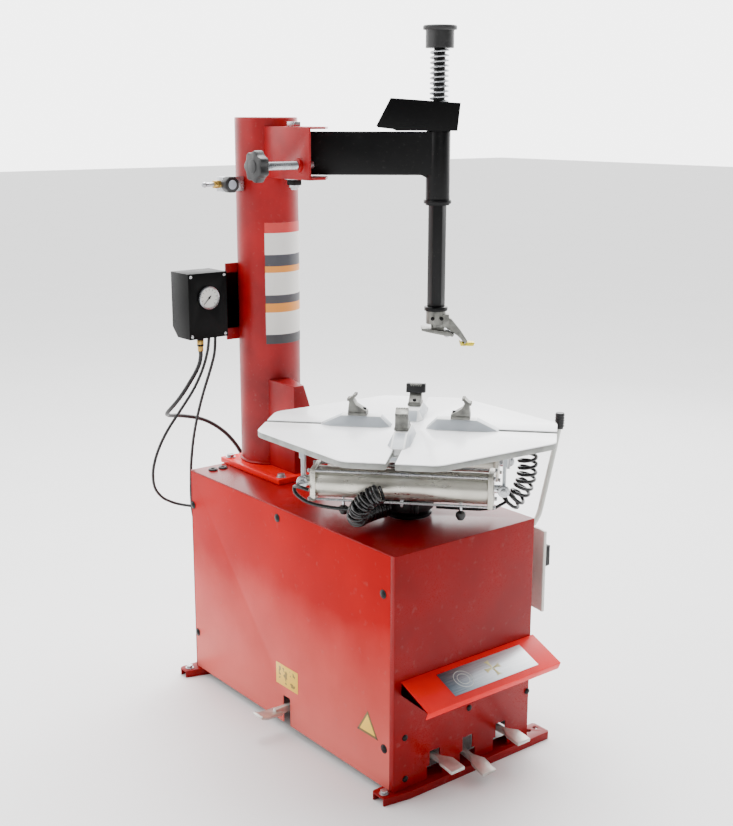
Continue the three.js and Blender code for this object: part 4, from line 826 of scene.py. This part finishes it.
# ---------------------------------------------------------------- cabinet
@dataclass
class Cabinet:
    """The sheet steel case with its rails, screws, labels and pedal tray."""

    side_screws: tuple[Point, ...] = ((869, 501), (459, 571), (40, 501), (865, 125), (34, 120))
    front_screws: tuple[Point, ...] = ((-186, 151), (-184, 45), (16, 163), (214, 146))
    grommets: tuple[Point, ...] = ((-173, 837), (-141, 837))
    tray_slope: float = math.atan2(41, 97)
    tray_top: float = 296.0
    mark_y: float = -52.0  # down the tray's slope

    def build(self) -> None:
        """Makes every piece of the case."""
        dress_each(Body.MACHINE, (
            ("cabinet_shell", RED, 2.0, 3), ("left_side_cover", RED_LIT_SIDE, 0.8), ("rear_panel", RED, 1.0),
            ("front_rail", RED, 1.5), ("rear_rail", RED, 1.5), ("pedal_tray", RED_LIT_TOP, 0.9)))
        self.add_screws()
        self.add_side_labels()
        self.add_tray_plate()
        self.add_top_fittings()

    def add_screws(self) -> None:
        """Adds the pan head screws, those on the side with washers."""
        form = Form()
        head = ((0, -4.2), (4.5, -3.8), (7.5, -2.0), (8, -0.1), (0, -0.1))
        for y, z in self.side_screws:
            form.spun([(radius, -HALF + out) for radius, out in head], "x", (y, z), 24)
            form.bar("x", (y, z), 11, -HALF - 1.2, -HALF - 0.1, 24, 0.3)
        for x, z in self.front_screws:
            form.spun(head, "y", (x, z), 24)
        form.piece("panel_screws", BLACK_STEEL, Body.MACHINE)

    def add_side_labels(self) -> None:
        """Adds two plain yellow notices, a square and a triangle, with no words or signs."""
        face = -HALF - 0.6
        Form().block((face, 378, 122), (-HALF - 0.1, 474, 180), 0.2).piece(
            "square_notice", LabelFinish("square_notice_print", Print.PANEL), Body.MACHINE)
        Form().plate("x", [(56, 131), (135, 131), (95, 192)], face, -HALF - 0.1, 0.2).piece(
            "triangle_notice", LabelFinish("triangle_notice_print", Print.BORDER), Body.MACHINE)

    def add_tray_plate(self) -> None:
        """Lays the brushed plate with its generic ring and cross on the sloping tray."""
        turn = Matrix.Translation((0, 0, self.tray_top)) @ Matrix.Rotation(self.tray_slope, 4, "X")
        form = Form().block((-105, -88, 0.2), (165, -16, 1.0), 0.2, turn)
        form.piece("tray_plate", LabelFinish("tray_plate_brushed_painted_reflection", Print.BRUSHED_AND_REFLECTION, "zinc_steel"), Body.MACHINE)

        marks = Form()
        for inner, outer in ((24, 25.4), (15, 16.2)):
            marks.take(self.ring(-50, self.mark_y, inner, outer), turn)
        marks.piece("tray_ring_mark", LabelFinish("pale_mark", Print.PALE, "grey_paint"), Body.MACHINE)
        cross = Form()
        for quarter in range(4):
            spin = turn @ Matrix.Translation((44, self.mark_y, 0)) @ Matrix.Rotation(
                quarter * math.pi / 2 + 0.1, 4, "Z")
            arm = [(2, -2), (16, -3.5), (24, -7), (23, 0), (24, 7), (16, 3.5), (2, 2)]
            cross.plate("z", arm, 1.0, 1.5, 0.1, spin)
        cross.piece("tray_cross_mark", LabelFinish("pale_yellow_mark", Print.YELLOW), Body.MACHINE)

    @staticmethod
    def ring(x: float, y: float, inner: float, outer: float) -> bmesh.types.BMesh:
        """Makes a flat ring.

        Args:
            x: Its centre across.
            y: Its centre down the slope.
            inner: The inner radius.
            outer: The outer radius.

        Returns:
            The ring's mesh.
        """
        part = bmesh.new()
        corners = [(inner, 1.0), (outer, 1.0), (outer, 1.5), (inner, 1.5)]
        spots = [part.verts.new((radius, 0, height)) for radius, height in corners]
        edges = [part.edges.new((spots[i], spots[(i + 1) % 4])) for i in range(4)]
        bmesh.ops.spin(part, geom=spots + edges, axis=(0, 0, 1), cent=(0, 0, 0), steps=40,
                       angle=2 * math.pi, use_merge=True)
        bmesh.ops.remove_doubles(part, verts=part.verts, dist=0.001)
        bmesh.ops.translate(part, vec=(x, y, 0), verts=part.verts)
        return part

    def add_top_fittings(self) -> None:
        """Adds the grommets behind and the bolts in the rails' ears."""
        form = Form()
        section = [(5, TOP), (13, TOP), (13, TOP + 2.5), (10, TOP + 5), (6, TOP + 5), (5, TOP + 3)]
        for spot in self.grommets:
            form.spun(section, "z", spot, 28)
        form.piece("top_grommets", RUBBER, Body.MACHINE)
        anchors = Form()
        for x, y in ((-236, 14), (-246, 874)):
            bolt(anchors, "z", (x, y), 20.0, 1.0, 16.0)
        anchors.piece("rail_bolts", ZINC, Body.MACHINE)


class Print(Enum):
    """The generic printed patterns."""

    PANEL = "panel"
    BORDER = "border"
    BRUSHED_AND_REFLECTION = "brushed"
    PALE = "pale"
    YELLOW = "yellow"
    COLUMN = "column"


@dataclass(frozen=True)
class LabelFinish:
    """A printed or brushed label with plain blocks of colour; the brushed plate also carries a painted
    reflection.
    """

    name: str
    kind: Print
    slot: str = "yellow_plastic"
    bands: tuple[tuple[float, tuple[float, float, float]], ...] = (
        (951, (52, 50, 54)), (976, (226, 224, 218)), (1036, (226, 142, 44)), (1060, (62, 60, 66)),
        (1082, (228, 226, 220)), (1142, (226, 142, 44)), (1159, (62, 62, 70)), (1189, (228, 226, 222)),
        (1246, (200, 52, 50)))

    def material(self) -> bpy.types.Material:
        """Gives the label's material, making it the first time."""
        return bpy.data.materials.get(self.name) or self.build()

    def build(self) -> bpy.types.Material:
        """Makes the nodes.

        Returns:
            The material.
        """
        graph = Graph(self.name)
        x, y, z = graph.axes()
        wear = graph.noise(90.0, 5.0).ramp(0.62, 0.82) * 0.3
        metal = 0.0
        if self.kind is Print.BRUSHED_AND_REFLECTION:
            streaks = graph.noise(60.0, 4.0, (0.3, 8.0, 8.0))
            # Painted reflection: the brushed plate runs from dark blue-grey at its left end to near white at
            # its right, with the brushing streaks laid over it.
            across = x.ramp((FRAME @ Vector((-105, 0, 0))).x, (FRAME @ Vector((165, 0, 0))).x)
            colour = graph.mix(
                (across + (streaks - 0.5) * 0.5).clamped(), shade(92, 104, 116), shade(226, 228, 230))
            metal = 0.75
        elif self.kind is Print.COLUMN:
            colour = shade(*self.bands[0][1])
            for height, tint in self.bands[1:]:
                colour = graph.mix(z > height / 1000, colour, shade(*tint))
        elif self.kind is Print.PALE:
            colour = graph.mix(wear, shade(206, 210, 204), shade(150, 156, 154))
        elif self.kind is Print.YELLOW:
            colour = graph.mix(wear, shade(222, 214, 150), shade(180, 172, 120))
        else:
            colour = graph.mix(wear, shade(232, 186, 44), shade(206, 158, 40))
            if self.kind is Print.PANEL:
                middle = FRAME @ Vector((0, 426, 151))
                wide = abs(y - middle.y) * (1 / 0.036)
                tall = abs(z - middle.z) * (1 / 0.021)
                inside = (wide < 1.0) * (tall < 1.0)
                lines = graph.noise(70.0, 1.0) > 0.56
                colour = graph.mix(inside * lines * 0.75, colour, shade(60, 52, 30))
            else:
                middle = FRAME @ Vector((0, 95.5, 151))
                slope = abs(y - middle.y) * 1.54 + (z - 0.131)
                for edge in (slope > 0.051, z < 0.1375):
                    colour = graph.mix(edge * 0.85, colour, shade(40, 34, 22))
        colour = graph.mix(wear * 0.4, colour, shade(150, 140, 120))
        rough = 0.34 + (graph.noise(300.0) - 0.5) * 0.2
        return graph.finish(Base_Color=colour, Roughness=rough, Metallic=metal)


# ---------------------------------------------------------------- column, bracket and stop
@dataclass
class Column:
    """The round column with its foot, the arm's bracket and the swing stop."""

    stop_y: float = 583.0
    stop_z: float = 1426.0
    foot: float = 615.6
    head: float = 1542.0
    box_side: float = -136.7  # the plates' side against the gauge box
    label_low: float = 951.0
    label_high: float = 1273.0
    label_start: float = -130.0  # degrees round the tube
    label_turn: float = 104.0
    thread_pitch: float = 2.7
    knob_radius: float = 37.0
    knob_lobes: int = 7

    def build(self) -> None:
        """Makes every piece of the column."""
        self.add_tube()
        dress_each(Body.MACHINE, (
            ("column_base_plate", RED_LIT_TOP, 1.6), ("column_gusset", RED_COLUMN, 2.0, 3),
            ("arm_bracket", RED_COLUMN, 1.4)))
        self.add_label()
        self.add_foot_bolts()
        self.add_pivot()
        self.add_stop()

    def add_tube(self) -> None:
        """Makes the tube with its cap, weld beads and the plates that carry the gauge box."""
        low, high = self.foot, self.head
        form = Form().spun([
            (0, low), (COLUMN_R, low), (COLUMN_R, high - 2), (COLUMN_R - 2, high), (0, high)],
            "z", (0, COLUMN_Y), 96)
        form.block((-113, 842, 955), (-COLUMN_R + 14, 847, 1162), 1.0)
        form.block((self.box_side, 842, 985), (-COLUMN_R + 14, 847, 1138), 1.0)
        form.block((self.box_side, 808, 985), (self.box_side + 5, 843, 1138), 1.0)
        ringed = [(COLUMN_R * math.cos(a), COLUMN_Y + COLUMN_R * math.sin(a), low + 3 + 0.8 * math.sin(9 * a))
                  for a in (2 * math.pi * i / 96 for i in range(97))]
        form.tube(ringed, 4.2, 8)
        form.piece("column_tube_finished", RED_COLUMN, Body.MACHINE, ["column_tube"])

    def add_label(self) -> None:
        """Wraps a label of plain colour blocks round the tube's operator side."""
        part = bmesh.new()
        start, turn = math.radians(self.label_start), math.radians(self.label_turn)
        radius = COLUMN_R + 0.5
        spots = [part.verts.new((radius * math.cos(start), radius * math.sin(start), z))
                 for z in (self.label_low, self.label_high)]
        edge = part.edges.new(spots)
        bmesh.ops.spin(part, geom=spots + [edge], axis=(0, 0, 1), cent=(0, 0, 0), steps=40, angle=turn)
        bmesh.ops.solidify(part, geom=part.faces[:], thickness=0.4)
        form = Form().take(part, Matrix.Translation((0, COLUMN_Y, 0)))
        print_finish = LabelFinish("column_label_print", Print.COLUMN, "grey_paint")
        form.piece("column_label", print_finish, Body.MACHINE)

    def add_foot_bolts(self) -> None:
        """Adds the base plate's bolts."""
        form = Form()
        for x in (-93, 93):
            for y in (624, 873):
                bolt(form, "z", (x, y), 615.3, 1.0, 19.0)
        form.piece("foot_bolts", ZINC, Body.MACHINE)

    def add_pivot(self) -> None:
        """Makes the arm's pivot bolt with its washers and nut."""
        x, y = PIVOT
        form = Form().bar("z", PIVOT, 14, 1366, 1525, 40)
        form.hexagon("z", PIVOT, 34, 1519.4, 1531)
        form.bar("z", PIVOT, 24, 1507.3, 1513.6, 40, 0.6)
        form.bar("z", PIVOT, 25, 1386.4, 1389.6, 40, 0.5)
        form.bar("z", PIVOT, 9, 1360, 1372, 32, 1.5)
        form.piece("pivot_bolt", ZINC, Body.MACHINE, ["pivot_pin"])
        Form().hexagon("z", (x, y), 36, 1372, 1386.2).piece("pivot_nut", BLACK_STEEL, Body.MACHINE)

    def add_stop(self) -> None:
        """Makes the threaded stop and its lobed knob."""
        centre = (self.stop_y, self.stop_z)
        profile = [(0, -180.0)]
        for i in range(62):
            x = -180.0 + i * self.thread_pitch
            profile += [(8.6, x), (10.0, x + self.thread_pitch / 2)]
        profile += [(8.6, -12.0), (0, -11.0)]
        Form().spun(profile, "x", centre, 28).piece("stop_screw_thread", ZINC, Body.STOP, ["stop_screw"])
        lobes = []
        for i in range(84):
            angle = 2 * math.pi * i / 84
            radius = self.knob_radius * (1 + 0.075 * math.cos(self.knob_lobes * angle))
            lobes.append((self.stop_y + radius * math.cos(angle), self.stop_z + radius * math.sin(angle)))
        knob = Form().plate("x", lobes, -192, -166, 5.0)
        knob.bar("x", centre, 17, -194, -160, 32, 2.0)
        knob.piece("stop_hand_knob", BLACK_PLASTIC, Body.STOP, ["stop_knob"])
        Form().spun([(10.6, -61.8), (18, -61.8), (18, -52), (21, -50)], "x", centre, 36).piece(
            "stop_weld_boss", RED_COLUMN, Body.MACHINE)


# ---------------------------------------------------------------- gauge box and regulator
@dataclass
class Gauge:
    """The black box with its dial, and the regulator on the column."""

    x: float = -194.0
    z: float = 1082.0
    front: float = 800.0
    port_z: float = 1373.0
    knob_radius: float = 22.0
    needle_rest: float = -135.0  # degrees, at the first tick
    tick_step: float = 27.0
    ticks: int = 11

    def build(self) -> None:
        """Makes every piece of the gauge and the regulator."""
        dress("gauge_box", BLACK, Body.MACHINE, 1.8)
        centre = (self.x, self.z)
        face = self.front - 7
        bezel = Form().spun([
            (26.5, face + 2), (26.5, face + 0.5), (28, face - 0.8), (30, face + 0.5), (30, self.front - 0.3),
            (26.5, self.front - 0.3), (26.5, face + 2)], "y", centre, 64)
        bezel.piece("gauge_bezel", ZINC, Body.MACHINE, ["pressure_gauge"])
        section = [(0, face + 3), (26.4, face + 3), (26.4, face + 6), (0, face + 6)]
        dial = Form().spun(section, "y", centre, 48)
        dial.piece("gauge_dial", DIAL_WHITE, Body.MACHINE)
        ticks = Form()
        for i in range(self.ticks):
            angle = math.radians(self.needle_rest + self.tick_step * i)
            spin = Matrix.Translation((self.x, 0, self.z)) @ Matrix.Rotation(angle, 4, "Y")
            ticks.block((-0.5, face + 2.5, 19), (0.5, face + 3.1, 24), 0.0, spin)
        ticks.piece("gauge_ticks", BLACK_PLASTIC, Body.MACHINE)
        dress("gauge_needle", BLACK_PLASTIC, Body.POINTER, 0.15, 1)
        self.add_regulator()
        self.add_box_trim()

    def add_box_trim(self) -> None:
        """Adds the box's cover screws and its brass hose fitting."""
        screws = Form()
        for x in (-246, -145):
            for z in (983, 1139):
                screws.spun([(0, 797), (2.6, 797.2), (4.2, 799), (4.2, 799.9), (0, 799.9)], "y", (x, z), 20)
        screws.piece("gauge_box_screws", ZINC, Body.MACHINE)
        nut = Form().hexagon("z", (-208, 825), 17, 956, 968)
        nut.bar("z", (-208, 825), 7.4, 938, 957, 24)
        nut.piece("gauge_feed_fitting", BRASS, Body.MACHINE)

    def add_regulator(self) -> None:
        """Makes the air inlet block with its nipple, and the octagonal knob."""
        side = -COLUMN_R - 0.3
        centre = (COLUMN_Y - 2, self.port_z)
        form = Form().block(
            (side - 66, COLUMN_Y - 19, self.port_z - 19), (side, COLUMN_Y + 14, self.port_z + 19), 3.0)
        form.bar("x", centre, 5.5, side - 112, side - 60, 32)
        form.spun([
            (0, side - 118), (5, side - 117), (7.6, side - 113), (7.6, side - 110), (5, side - 106),
            (0, side - 105)], "x", centre, 32)
        form.piece("air_inlet_block", ZINC, Body.MACHINE, ["air_inlet"])
        Form().hexagon("x", centre, 19, side - 84, side - 65.5).piece("air_inlet_collar", BRASS, Body.MACHINE)
        back = COLUMN_Y - 19.3
        knob_x = side - 52
        outline = ring_of((knob_x, self.port_z), self.knob_radius, 8, math.pi / 8)
        knob = Form().plate("y", outline, back - 24, back, 2.5)
        knob.bar("y", (knob_x, self.port_z), 5.5, back - 2, back + 7, 24)
        knob.piece("regulator_hand_knob", BLACK_PLASTIC, Body.REGULATOR, ["regulator_knob"])
        disc = Form().spun([(0, back - 25.2), (11, back - 25.0), (12, back - 24), (0, back - 24)],
                           "y", (knob_x, self.port_z), 36)
        disc.piece("regulator_disc", MOTOR_PAINT, Body.REGULATOR)


# ---------------------------------------------------------------- swing arm
@dataclass
class SwingArm:
    """The arm with its locking handle, sprung shaft and mount head."""

    spring_low: float = 1519.3
    spring_high: float = 1711.7
    spring_keep: float = 0.48
    spring_wire: float = 2.4
    spring_radius: float = 22.5
    spring_turns: float = 15
    head_top: float = 1046.7

    def build(self) -> None:
        """Makes every piece of the arm."""
        dress("swing_arm", BLACK_STEEL, Body.ARM, 2.0, 3)
        dress("lock_handle", BLACK, Body.LOCK, 2.2, 3)
        self.add_shaft()
        self.add_spring()
        self.add_head()

    def add_shaft(self) -> None:
        """Makes the hexagonal bar with its collar, upper rod and cap."""
        centre = (ARM_REACH, 0)
        form = Form().hexagon("z", centre, 41, 1047, 1519)
        form.bar("z", centre, 31, 1047, 1058, 64, 1.5)
        form.bar("z", centre, 15, 1518, 1755, 40)
        form.piece("hex_shaft_bar", BLACK_STEEL, Body.SHAFT, ["hex_shaft"], ARM)
        cap = Form().spun([
            (15.5, 1712), (35, 1712), (36, 1713), (36, 1754), (38, 1756), (42, 1756), (43, 1757.5),
            (43, 1764), (41, 1766.5), (30, 1767), (0, 1767)], "z", centre, 72)
        cap.piece("shaft_end_cap", BLACK_PLASTIC, Body.SHAFT, ["shaft_cap"], ARM)
        collar = Form().spun(
            [(31.2, 1326), (35, 1326), (36, 1328), (36, 1334), (35, 1336), (31.2, 1336)], "z", centre, 64)
        collar.piece("sleeve_collar", BLACK_STEEL, Body.ARM, (), ARM)

    def add_spring(self) -> None:
        """Winds the return spring."""
        centre = [Vector((ARM_REACH, 0, z)) for z in (self.spring_low + 2.8, self.spring_high - 2.8)]
        line = coiled(centre, self.spring_radius, self.spring_turns, 20)
        spring = Form().tube(line, self.spring_wire, 8).piece(
            "shaft_return_spring", ZINC, Body.ARM, ["shaft_spring"], ARM)
        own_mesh(spring)

    def add_head(self) -> None:
        """Makes the cast mount head with its screws, roller and yellow insert."""
        top = self.head_top
        dress("mount_head", CASTING, Body.SHAFT, 2.5, 3)
        dress("head_insert", YELLOW, Body.SHAFT, 1.5, 3)
        screws = Form()
        for x in (ARM_REACH + 14, ARM_REACH - 10):
            screws.bar("y", (x, top - 18), 5, -29, -24, 24, 0.8)
        screws.piece("head_clamp_screws", BLACK_STEEL, Body.SHAFT, (), ARM)
        roller = Form().spun([(0, -15), (8, -15), (10, -12), (7, 0), (10, 12), (8, 15), (0, 15)],
                             "y", (ARM_REACH + 30, top - 60), 36)
        roller.piece("head_roller", ZINC, Body.SHAFT, (), ARM)


# ---------------------------------------------------------------- turntable
@dataclass
class Turntable:
    """The clamping table with its jaws, cylinders, hub and hoses."""

    top: float = 821.0
    tube_z: float = 709.0
    offset: float = 112.0
    highlight_bevel_area: float = 0.0003  # square metres; smaller faces are a carriage's rounded edges, which get the white paint as a painted highlight
    carriage_height: float = 25.6
    jaw_reach: float = 125.0
    cap_x: float = 138.0
    valve_angles: tuple[float, ...] = (20, 110, 200, 290)
    coil_radius: float = 20.4
    coil_wire: float = 4.2
    quarters: tuple[tuple[str, Body], ...] = (
        ("right", Body.RIGHT), ("back", Body.BACK), ("left", Body.LEFT), ("front", Body.FRONT))

    def build(self) -> None:
        """Makes every piece of the turntable."""
        table = dress("turntable_top", TABLE_WHITE, Body.TABLE, 2.0, 2)
        table.data.materials.append(TABLE_NOT_UP_GREY.material())
        # Faces that point up less steeply, the rim, the slots' walls and the underside, take the darker grey.
        for face in table.data.polygons:
            face.material_index = int(face.normal.z < 0.3)
        for quarter, (name, body) in enumerate(self.quarters):
            turn = TABLE @ Matrix.Rotation(quarter * math.pi / 2, 4, "Z")
            slide = dress(f"{name}_carriage", CARRIAGE_SHADED_SIDE, body, 2.5)
            slide.data.materials.append(CARRIAGE_WHITE.material())
            # Painted light: the sides get the darker copy as painted shade, the tops and the rounded edges
            # the white one, the edges as a painted highlight.
            for face in slide.data.polygons:
                edge_highlight = face.area < self.highlight_bevel_area
                face.material_index = int(face.normal.z > 0.97 or edge_highlight)
            self.add_jaw(name, body, turn)
        self.add_cylinders()
        self.add_hub()
        self.add_underside()
        self.add_curly_hoses()

    def add_jaw(self, name: str, body: Body, turn: Matrix) -> None:
        """Makes one hooked jaw with its serrated claw and its screw.

        Args:
            name: Its quarter of the table.
            body: What it rides on.
            turn: From the quarter's axes to the machine's.
        """
        low = self.top + self.carriage_height
        r = self.jaw_reach
        form = Form().block((r - 24, -17, low), (r + 22, 17, low + 8), 2.0)
        form.plate("y", [
            (r - 24, low + 7), (r + 22, low + 7), (r + 19, low + 33), (r + 24, low + 40), (r + 17, low + 42),
            (r + 6, low + 52), (r + 2, low + 50), (r + 9, low + 38), (r + 2, low + 26), (r - 24, low + 10)],
            -15, 15, 1.4)
        for i in range(5):
            form.block((r + 17, -14 + 5.8 * i, low + 34), (r + 24.3, -10.6 + 5.8 * i, low + 41), 0.8)
            form.block((r + 2, -14 + 5.8 * i, low + 45), (r + 9, -10.6 + 5.8 * i, low + 51.8), 0.8)
        form.piece(f"{name}_jaw_casting", CASTING, body, [f"{name}_jaw"], turn)
        screw = Form()
        bolt(screw, "z", (r - 17, 0), low + 9, 1.0, 8.0)
        screw.piece(f"{name}_jaw_screw", BLACK_STEEL, body, (), turn)
        if body is Body.BACK:
            outline = [(r - 2, low + 30), (r + 23, low + 26), (r + 23.5, low + 50), (r + 4, low + 52)]
            guard = Form().plate("y", outline, -24, 24, 2.0)
            guard.piece("back_jaw_guard", BLACK_PLASTIC, body, (), turn)

    def add_cylinders(self) -> None:
        """Makes the two clamp cylinders with square heads, tie rods and rods."""
        for name, side in (("front", -1), ("back", 1)):
            y = side * self.offset
            z = self.tube_z
            form = Form().bar("x", (y, z), 37, -201, 201, 96, 0.5)
            for x in (-214, 200):
                form.block((x, y - 40, z - 40), (x + 14, y + 40, z + 40), 4.0)
            form.bar("x", (y, z), 13, -231.7, -212, 40)
            form.piece(f"{name}_cylinder_tube", ALUMINIUM, Body.LEFT, [f"{name}_clamp_cylinder"], TABLE)
            rods = Form()
            for u in (-1, 1):
                for v in (-1, 1):
                    spot = (y + u * 34.5, z + v * 34.5)
                    rods.bar("x", spot, 3, -212, 212, 16, 0.0)
                    rods.hexagon("x", spot, 9, -219, -214)
                    rods.hexagon("x", spot, 9, 214, 219)
            rods.piece(f"{name}_cylinder_tie_rods", ZINC, Body.LEFT, (), TABLE)
            rod = Form().bar("x", (y, z), 10, -180, 231.7, 40)
            rod.piece(f"{name}_piston_rod", CHROME, Body.RIGHT, [f"{name}_clamp_rod"], TABLE)
            for end, body in ((-1, Body.LEFT), (1, Body.RIGHT)):
                outer = y + side * 12
                eye = Form().bar("y", (end * 236, z), 14, *sorted((outer, outer + side * 9)), 40, 1.5)
                eye.hexagon("y", (end * 236, z), 13, *sorted((outer + side * 8, outer + side * 15)))
                eye.piece(f"{name}_{body.value}_eye", ZINC, body, (), TABLE)

    def add_hub(self) -> None:
        """Makes the black hub with its flange and collar."""
        form = Form().spun([
            (0, 510), (22, 510), (22, 604), (56, 604), (58, 606), (58, 612), (50, 616), (50, 676), (49, 680),
            (44, 683), (44, 778), (46, 782), (52, 785), (52, 804.7), (0, 804.7)], "z", (0, 0), 96)
        form.piece("spindle_hub_turned", BLACK_STEEL, Body.TABLE, ["spindle_hub"], TABLE)

    def add_underside(self) -> None:
        """Hangs the capped bolts, the distribution valve and the plain air pipe under the table."""
        caps = Form()
        pins = Form()
        y = -self.offset
        for x, low in ((-self.cap_x, 656), (0, 658), (self.cap_x, 656)):
            pins.bar("z", (x, y - 14), 3.5, low, 678, 20)
            if x:
                caps.spun([(0, low - 22), (7, low - 21), (12, low - 12), (11, low - 4), (5, low), (0, low)],
                          "z", (x, y - 14), 32)
        pins.piece("hanging_bolts", ZINC, Body.LEFT, (), TABLE)
        caps.piece("bolt_caps", BLACK_PLASTIC, Body.LEFT, (), TABLE)
        route = [
            (-214, y - 50, 700), (-236, y - 44, 704), (-252, y - 30, 700), (-246, y - 36, 684),
            (-214, y - 46, 668), (-160, y - 50, 660), (-100, y - 50, 658), (-62, y - 50, 656)]
        pipe = Form().tube(curved(route, 6), 4.5, 12)
        pipe.piece("cylinder_air_pipe", CURLY, Body.LEFT, (), TABLE)
        valve = Form().bar("z", (0, 0), 62, 622, 652, 64, 2.0)
        for angle in self.valve_angles:
            spin = Matrix.Rotation(math.radians(angle), 4, "Z")
            valve.block((56, -9, 628), (74, 9, 646), 2.0, spin)
        valve.piece("rotary_valve", BLACK_PLASTIC, Body.TABLE, (), TABLE)
        fittings = Form()
        for angle in self.valve_angles:
            a = math.radians(angle)
            fittings.bar("z", (80 * math.cos(a), 80 * math.sin(a)), 6, 626, 648, 20)
        fittings.piece("valve_fittings", BLACK_STEEL, Body.TABLE, (), TABLE)

    def add_curly_hoses(self) -> None:
        """Winds the two curly air hoses inside the room that the frame keeps for them."""
        for node, plain, pitch in (("front_curly_hose", 0.0, 9.0), ("side_curly_hose", 0.5, 17.0)):
            centre = self.centre_line(node)
            split = round(plain * len(centre))
            wound = centre[split:]
            length = sum((b - a).length for a, b in zip(wound, wound[1:]))
            line = coiled(wound, self.coil_radius, length / pitch, 16)
            Form().tube([*centre[:split], *line, centre[-1]], self.coil_wire, 8).piece(
                f"{node}_coil", CURLY, Body.TABLE, [node])

    @staticmethod
    def centre_line(node: str) -> list[Vector]:
        """Finds the middle of a bent round solid.

        Args:
            node: The frame's solid.

        Returns:
            Points along its middle, in millimetres, from one cap to the other.
        """
        part = bmesh.new()
        part.from_mesh(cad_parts[node].data)
        bmesh.ops.remove_doubles(part, verts=part.verts, dist=1e-5)
        bmesh.ops.dissolve_limit(part, angle_limit=0.002, verts=part.verts, edges=part.edges)
        part.verts.ensure_lookup_table()
        cap = max(part.faces, key=lambda face: len(face.verts))
        ringed = set(cap.verts)
        seen = set(ringed)
        line = []
        inverse = FRAME.inverted()
        while ringed:
            line.append(inverse @ (sum((vert.co for vert in ringed), Vector()) / len(ringed)))
            ringed = {edge.other_vert(vert) for vert in ringed for edge in vert.link_edges} - seen
            seen |= ringed
        part.free()
        return [point for i, point in enumerate(line) if i == 0 or (point - line[i - 1]).length > 4.0]


# ---------------------------------------------------------------- drive
class Drive:
    """The motor, belt and worm gearbox inside the cabinet."""

    def build(self) -> None:
        """Finishes the drive's pieces."""
        dress_each(Body.MACHINE, (
            ("gearbox", DARK_CAST, 2.5), ("drive_motor", MOTOR_PAINT, 2.0), ("drive_belt", BELT, 0.8)))
        dress("gearbox_pulley", DARK_CAST, Body.WORM, 0.8)
        dress("motor_pulley", DARK_CAST, Body.MOTOR, 0.8)
        fins = Form()
        for i in range(9):
            fins.spun([(60, 420 + 14 * i), (70, 420.5 + 14 * i), (70, 423.5 + 14 * i), (60, 424 + 14 * i)],
                      "y", (-62, 270), 40)
        fins.piece("motor_fins", MOTOR_PAINT, Body.MACHINE)


# ---------------------------------------------------------------- pedals
@dataclass
class Pedals:
    """The three front pedals, the side pedal and their shaft."""

    levers: tuple[tuple[str, Body], ...] = (
        ("rotate_pedal", Body.ROTATE_PEDAL), ("clamp_pedal", Body.CLAMP_PEDAL),
        ("breaker_pedal", Body.BREAKER_PEDAL), ("inflate_pedal", Body.INFLATE_PEDAL))

    def build(self) -> None:
        """Finishes the pedals."""
        for node, body in self.levers:
            dress(node, PEDAL_CAST, body, 1.4)
        dress("pedal_shaft", ZINC, Body.MACHINE, 1.0)


# ---------------------------------------------------------------- bead breaker
@dataclass
class Breaker:
    """The side bead breaker with its arm, shovel, handle, pad and cylinder."""

    along: float = math.hypot(BLADE_TIP[0] - HINGE[0], BLADE_TIP[1] - HINGE[1]) - 42.0
    arm_half: float = 27.0
    sheet: float = 9.0
    handle_radius: float = 7.0
    grip_radius: float = 11.0
    radius: float = 260.0
    spread: float = 22.0
    low: float = 329.0
    high: float = 543.0
    handle: tuple[Point, ...] = (
        (298, 114, 492), (312, 108, 518), (338, 100, 556), (355, 100, 606), (373, 100, 668), (388, 100, 720),
        (405, 100, 786))

    def build(self) -> None:
        """Makes every piece of the bead breaker."""
        dress("breaker_arm", BLACK, Body.BREAKER_ARM, 3.0, 3)
        dress("breaker_hinge", RED, Body.MACHINE, 1.6)
        dress("breaker_cylinder", DARK_CAST, Body.MACHINE, 2.0)
        dress("breaker_rod", CHROME, Body.ROD, 1.0)
        self.add_pad()
        self.add_blade()

    def add_pad(self) -> None:
        """Makes the rubber pad with its upright ribs."""
        form = Form().block((HALF + 0.3, 70, 330), (HALF + 13, 210, 510), 3.0)
        for i in range(9):
            form.block((HALF + 11, 77 + 15 * i, 334), (HALF + 18, 85 + 15 * i, 506), 1.6)
        form.piece("breaker_pad_ribbed", PAD, Body.MACHINE, ["breaker_pad"])

    def add_blade(self) -> None:
        """Makes the curved shovel with its swivel block, bent handle and grip."""
        back = -self.arm_half - 22.0
        middle = back - self.radius

        def arc(radius: float) -> list[Point]:
            """Draws the shovel's curve at a radius."""
            turns = [math.radians(self.spread * (i / 12 - 1)) for i in range(25)]
            return [(self.along + radius * math.sin(t), middle + radius * math.cos(t)) for t in turns]

        outline = arc(self.radius) + list(reversed(arc(self.radius - self.sheet)))
        form = Form().plate("z", outline, self.low, self.high, 2.4)
        form.block((self.along - 14, back - 6, 433.4), (self.along + 14, -self.arm_half - 2, 448.6), 2.0)
        inward = BREAKER.inverted()
        line = [inward @ point for point in curved(self.handle, 6)]
        form.tube(line, self.handle_radius, 20)
        form.piece("breaker_shovel", GREY_PAINT, Body.BLADE, ["breaker_blade"], BREAKER)
        top = curved([(402.5, 100, 775), (404.5, 100, 790), (405, 100, 816)], 4)
        grip = Form().tube(top, self.grip_radius, 24)
        for i in range(5):
            grip.bar("z", (404.5 + 0.1 * i, 100), 12.6, 781 + 7 * i, 784 + 7 * i, 28, 0.8)
        grip.piece("breaker_grip", RUBBER, Body.BLADE)


def main() -> None:
    """Builds the sub-assemblies in order."""
    logging.basicConfig(level=logging.INFO, format="%(message)s")
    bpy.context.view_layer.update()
    makers: list[Callable[[], None]] = [
        Studio().build, FreeHoses().build, Cabinet().build, Column().build, Gauge().build, SwingArm().build,
        Turntable().build, Drive().build, Pedals().build, Breaker().build]
    for make in makers:
        make()


if __name__ == "__main__":
    main()
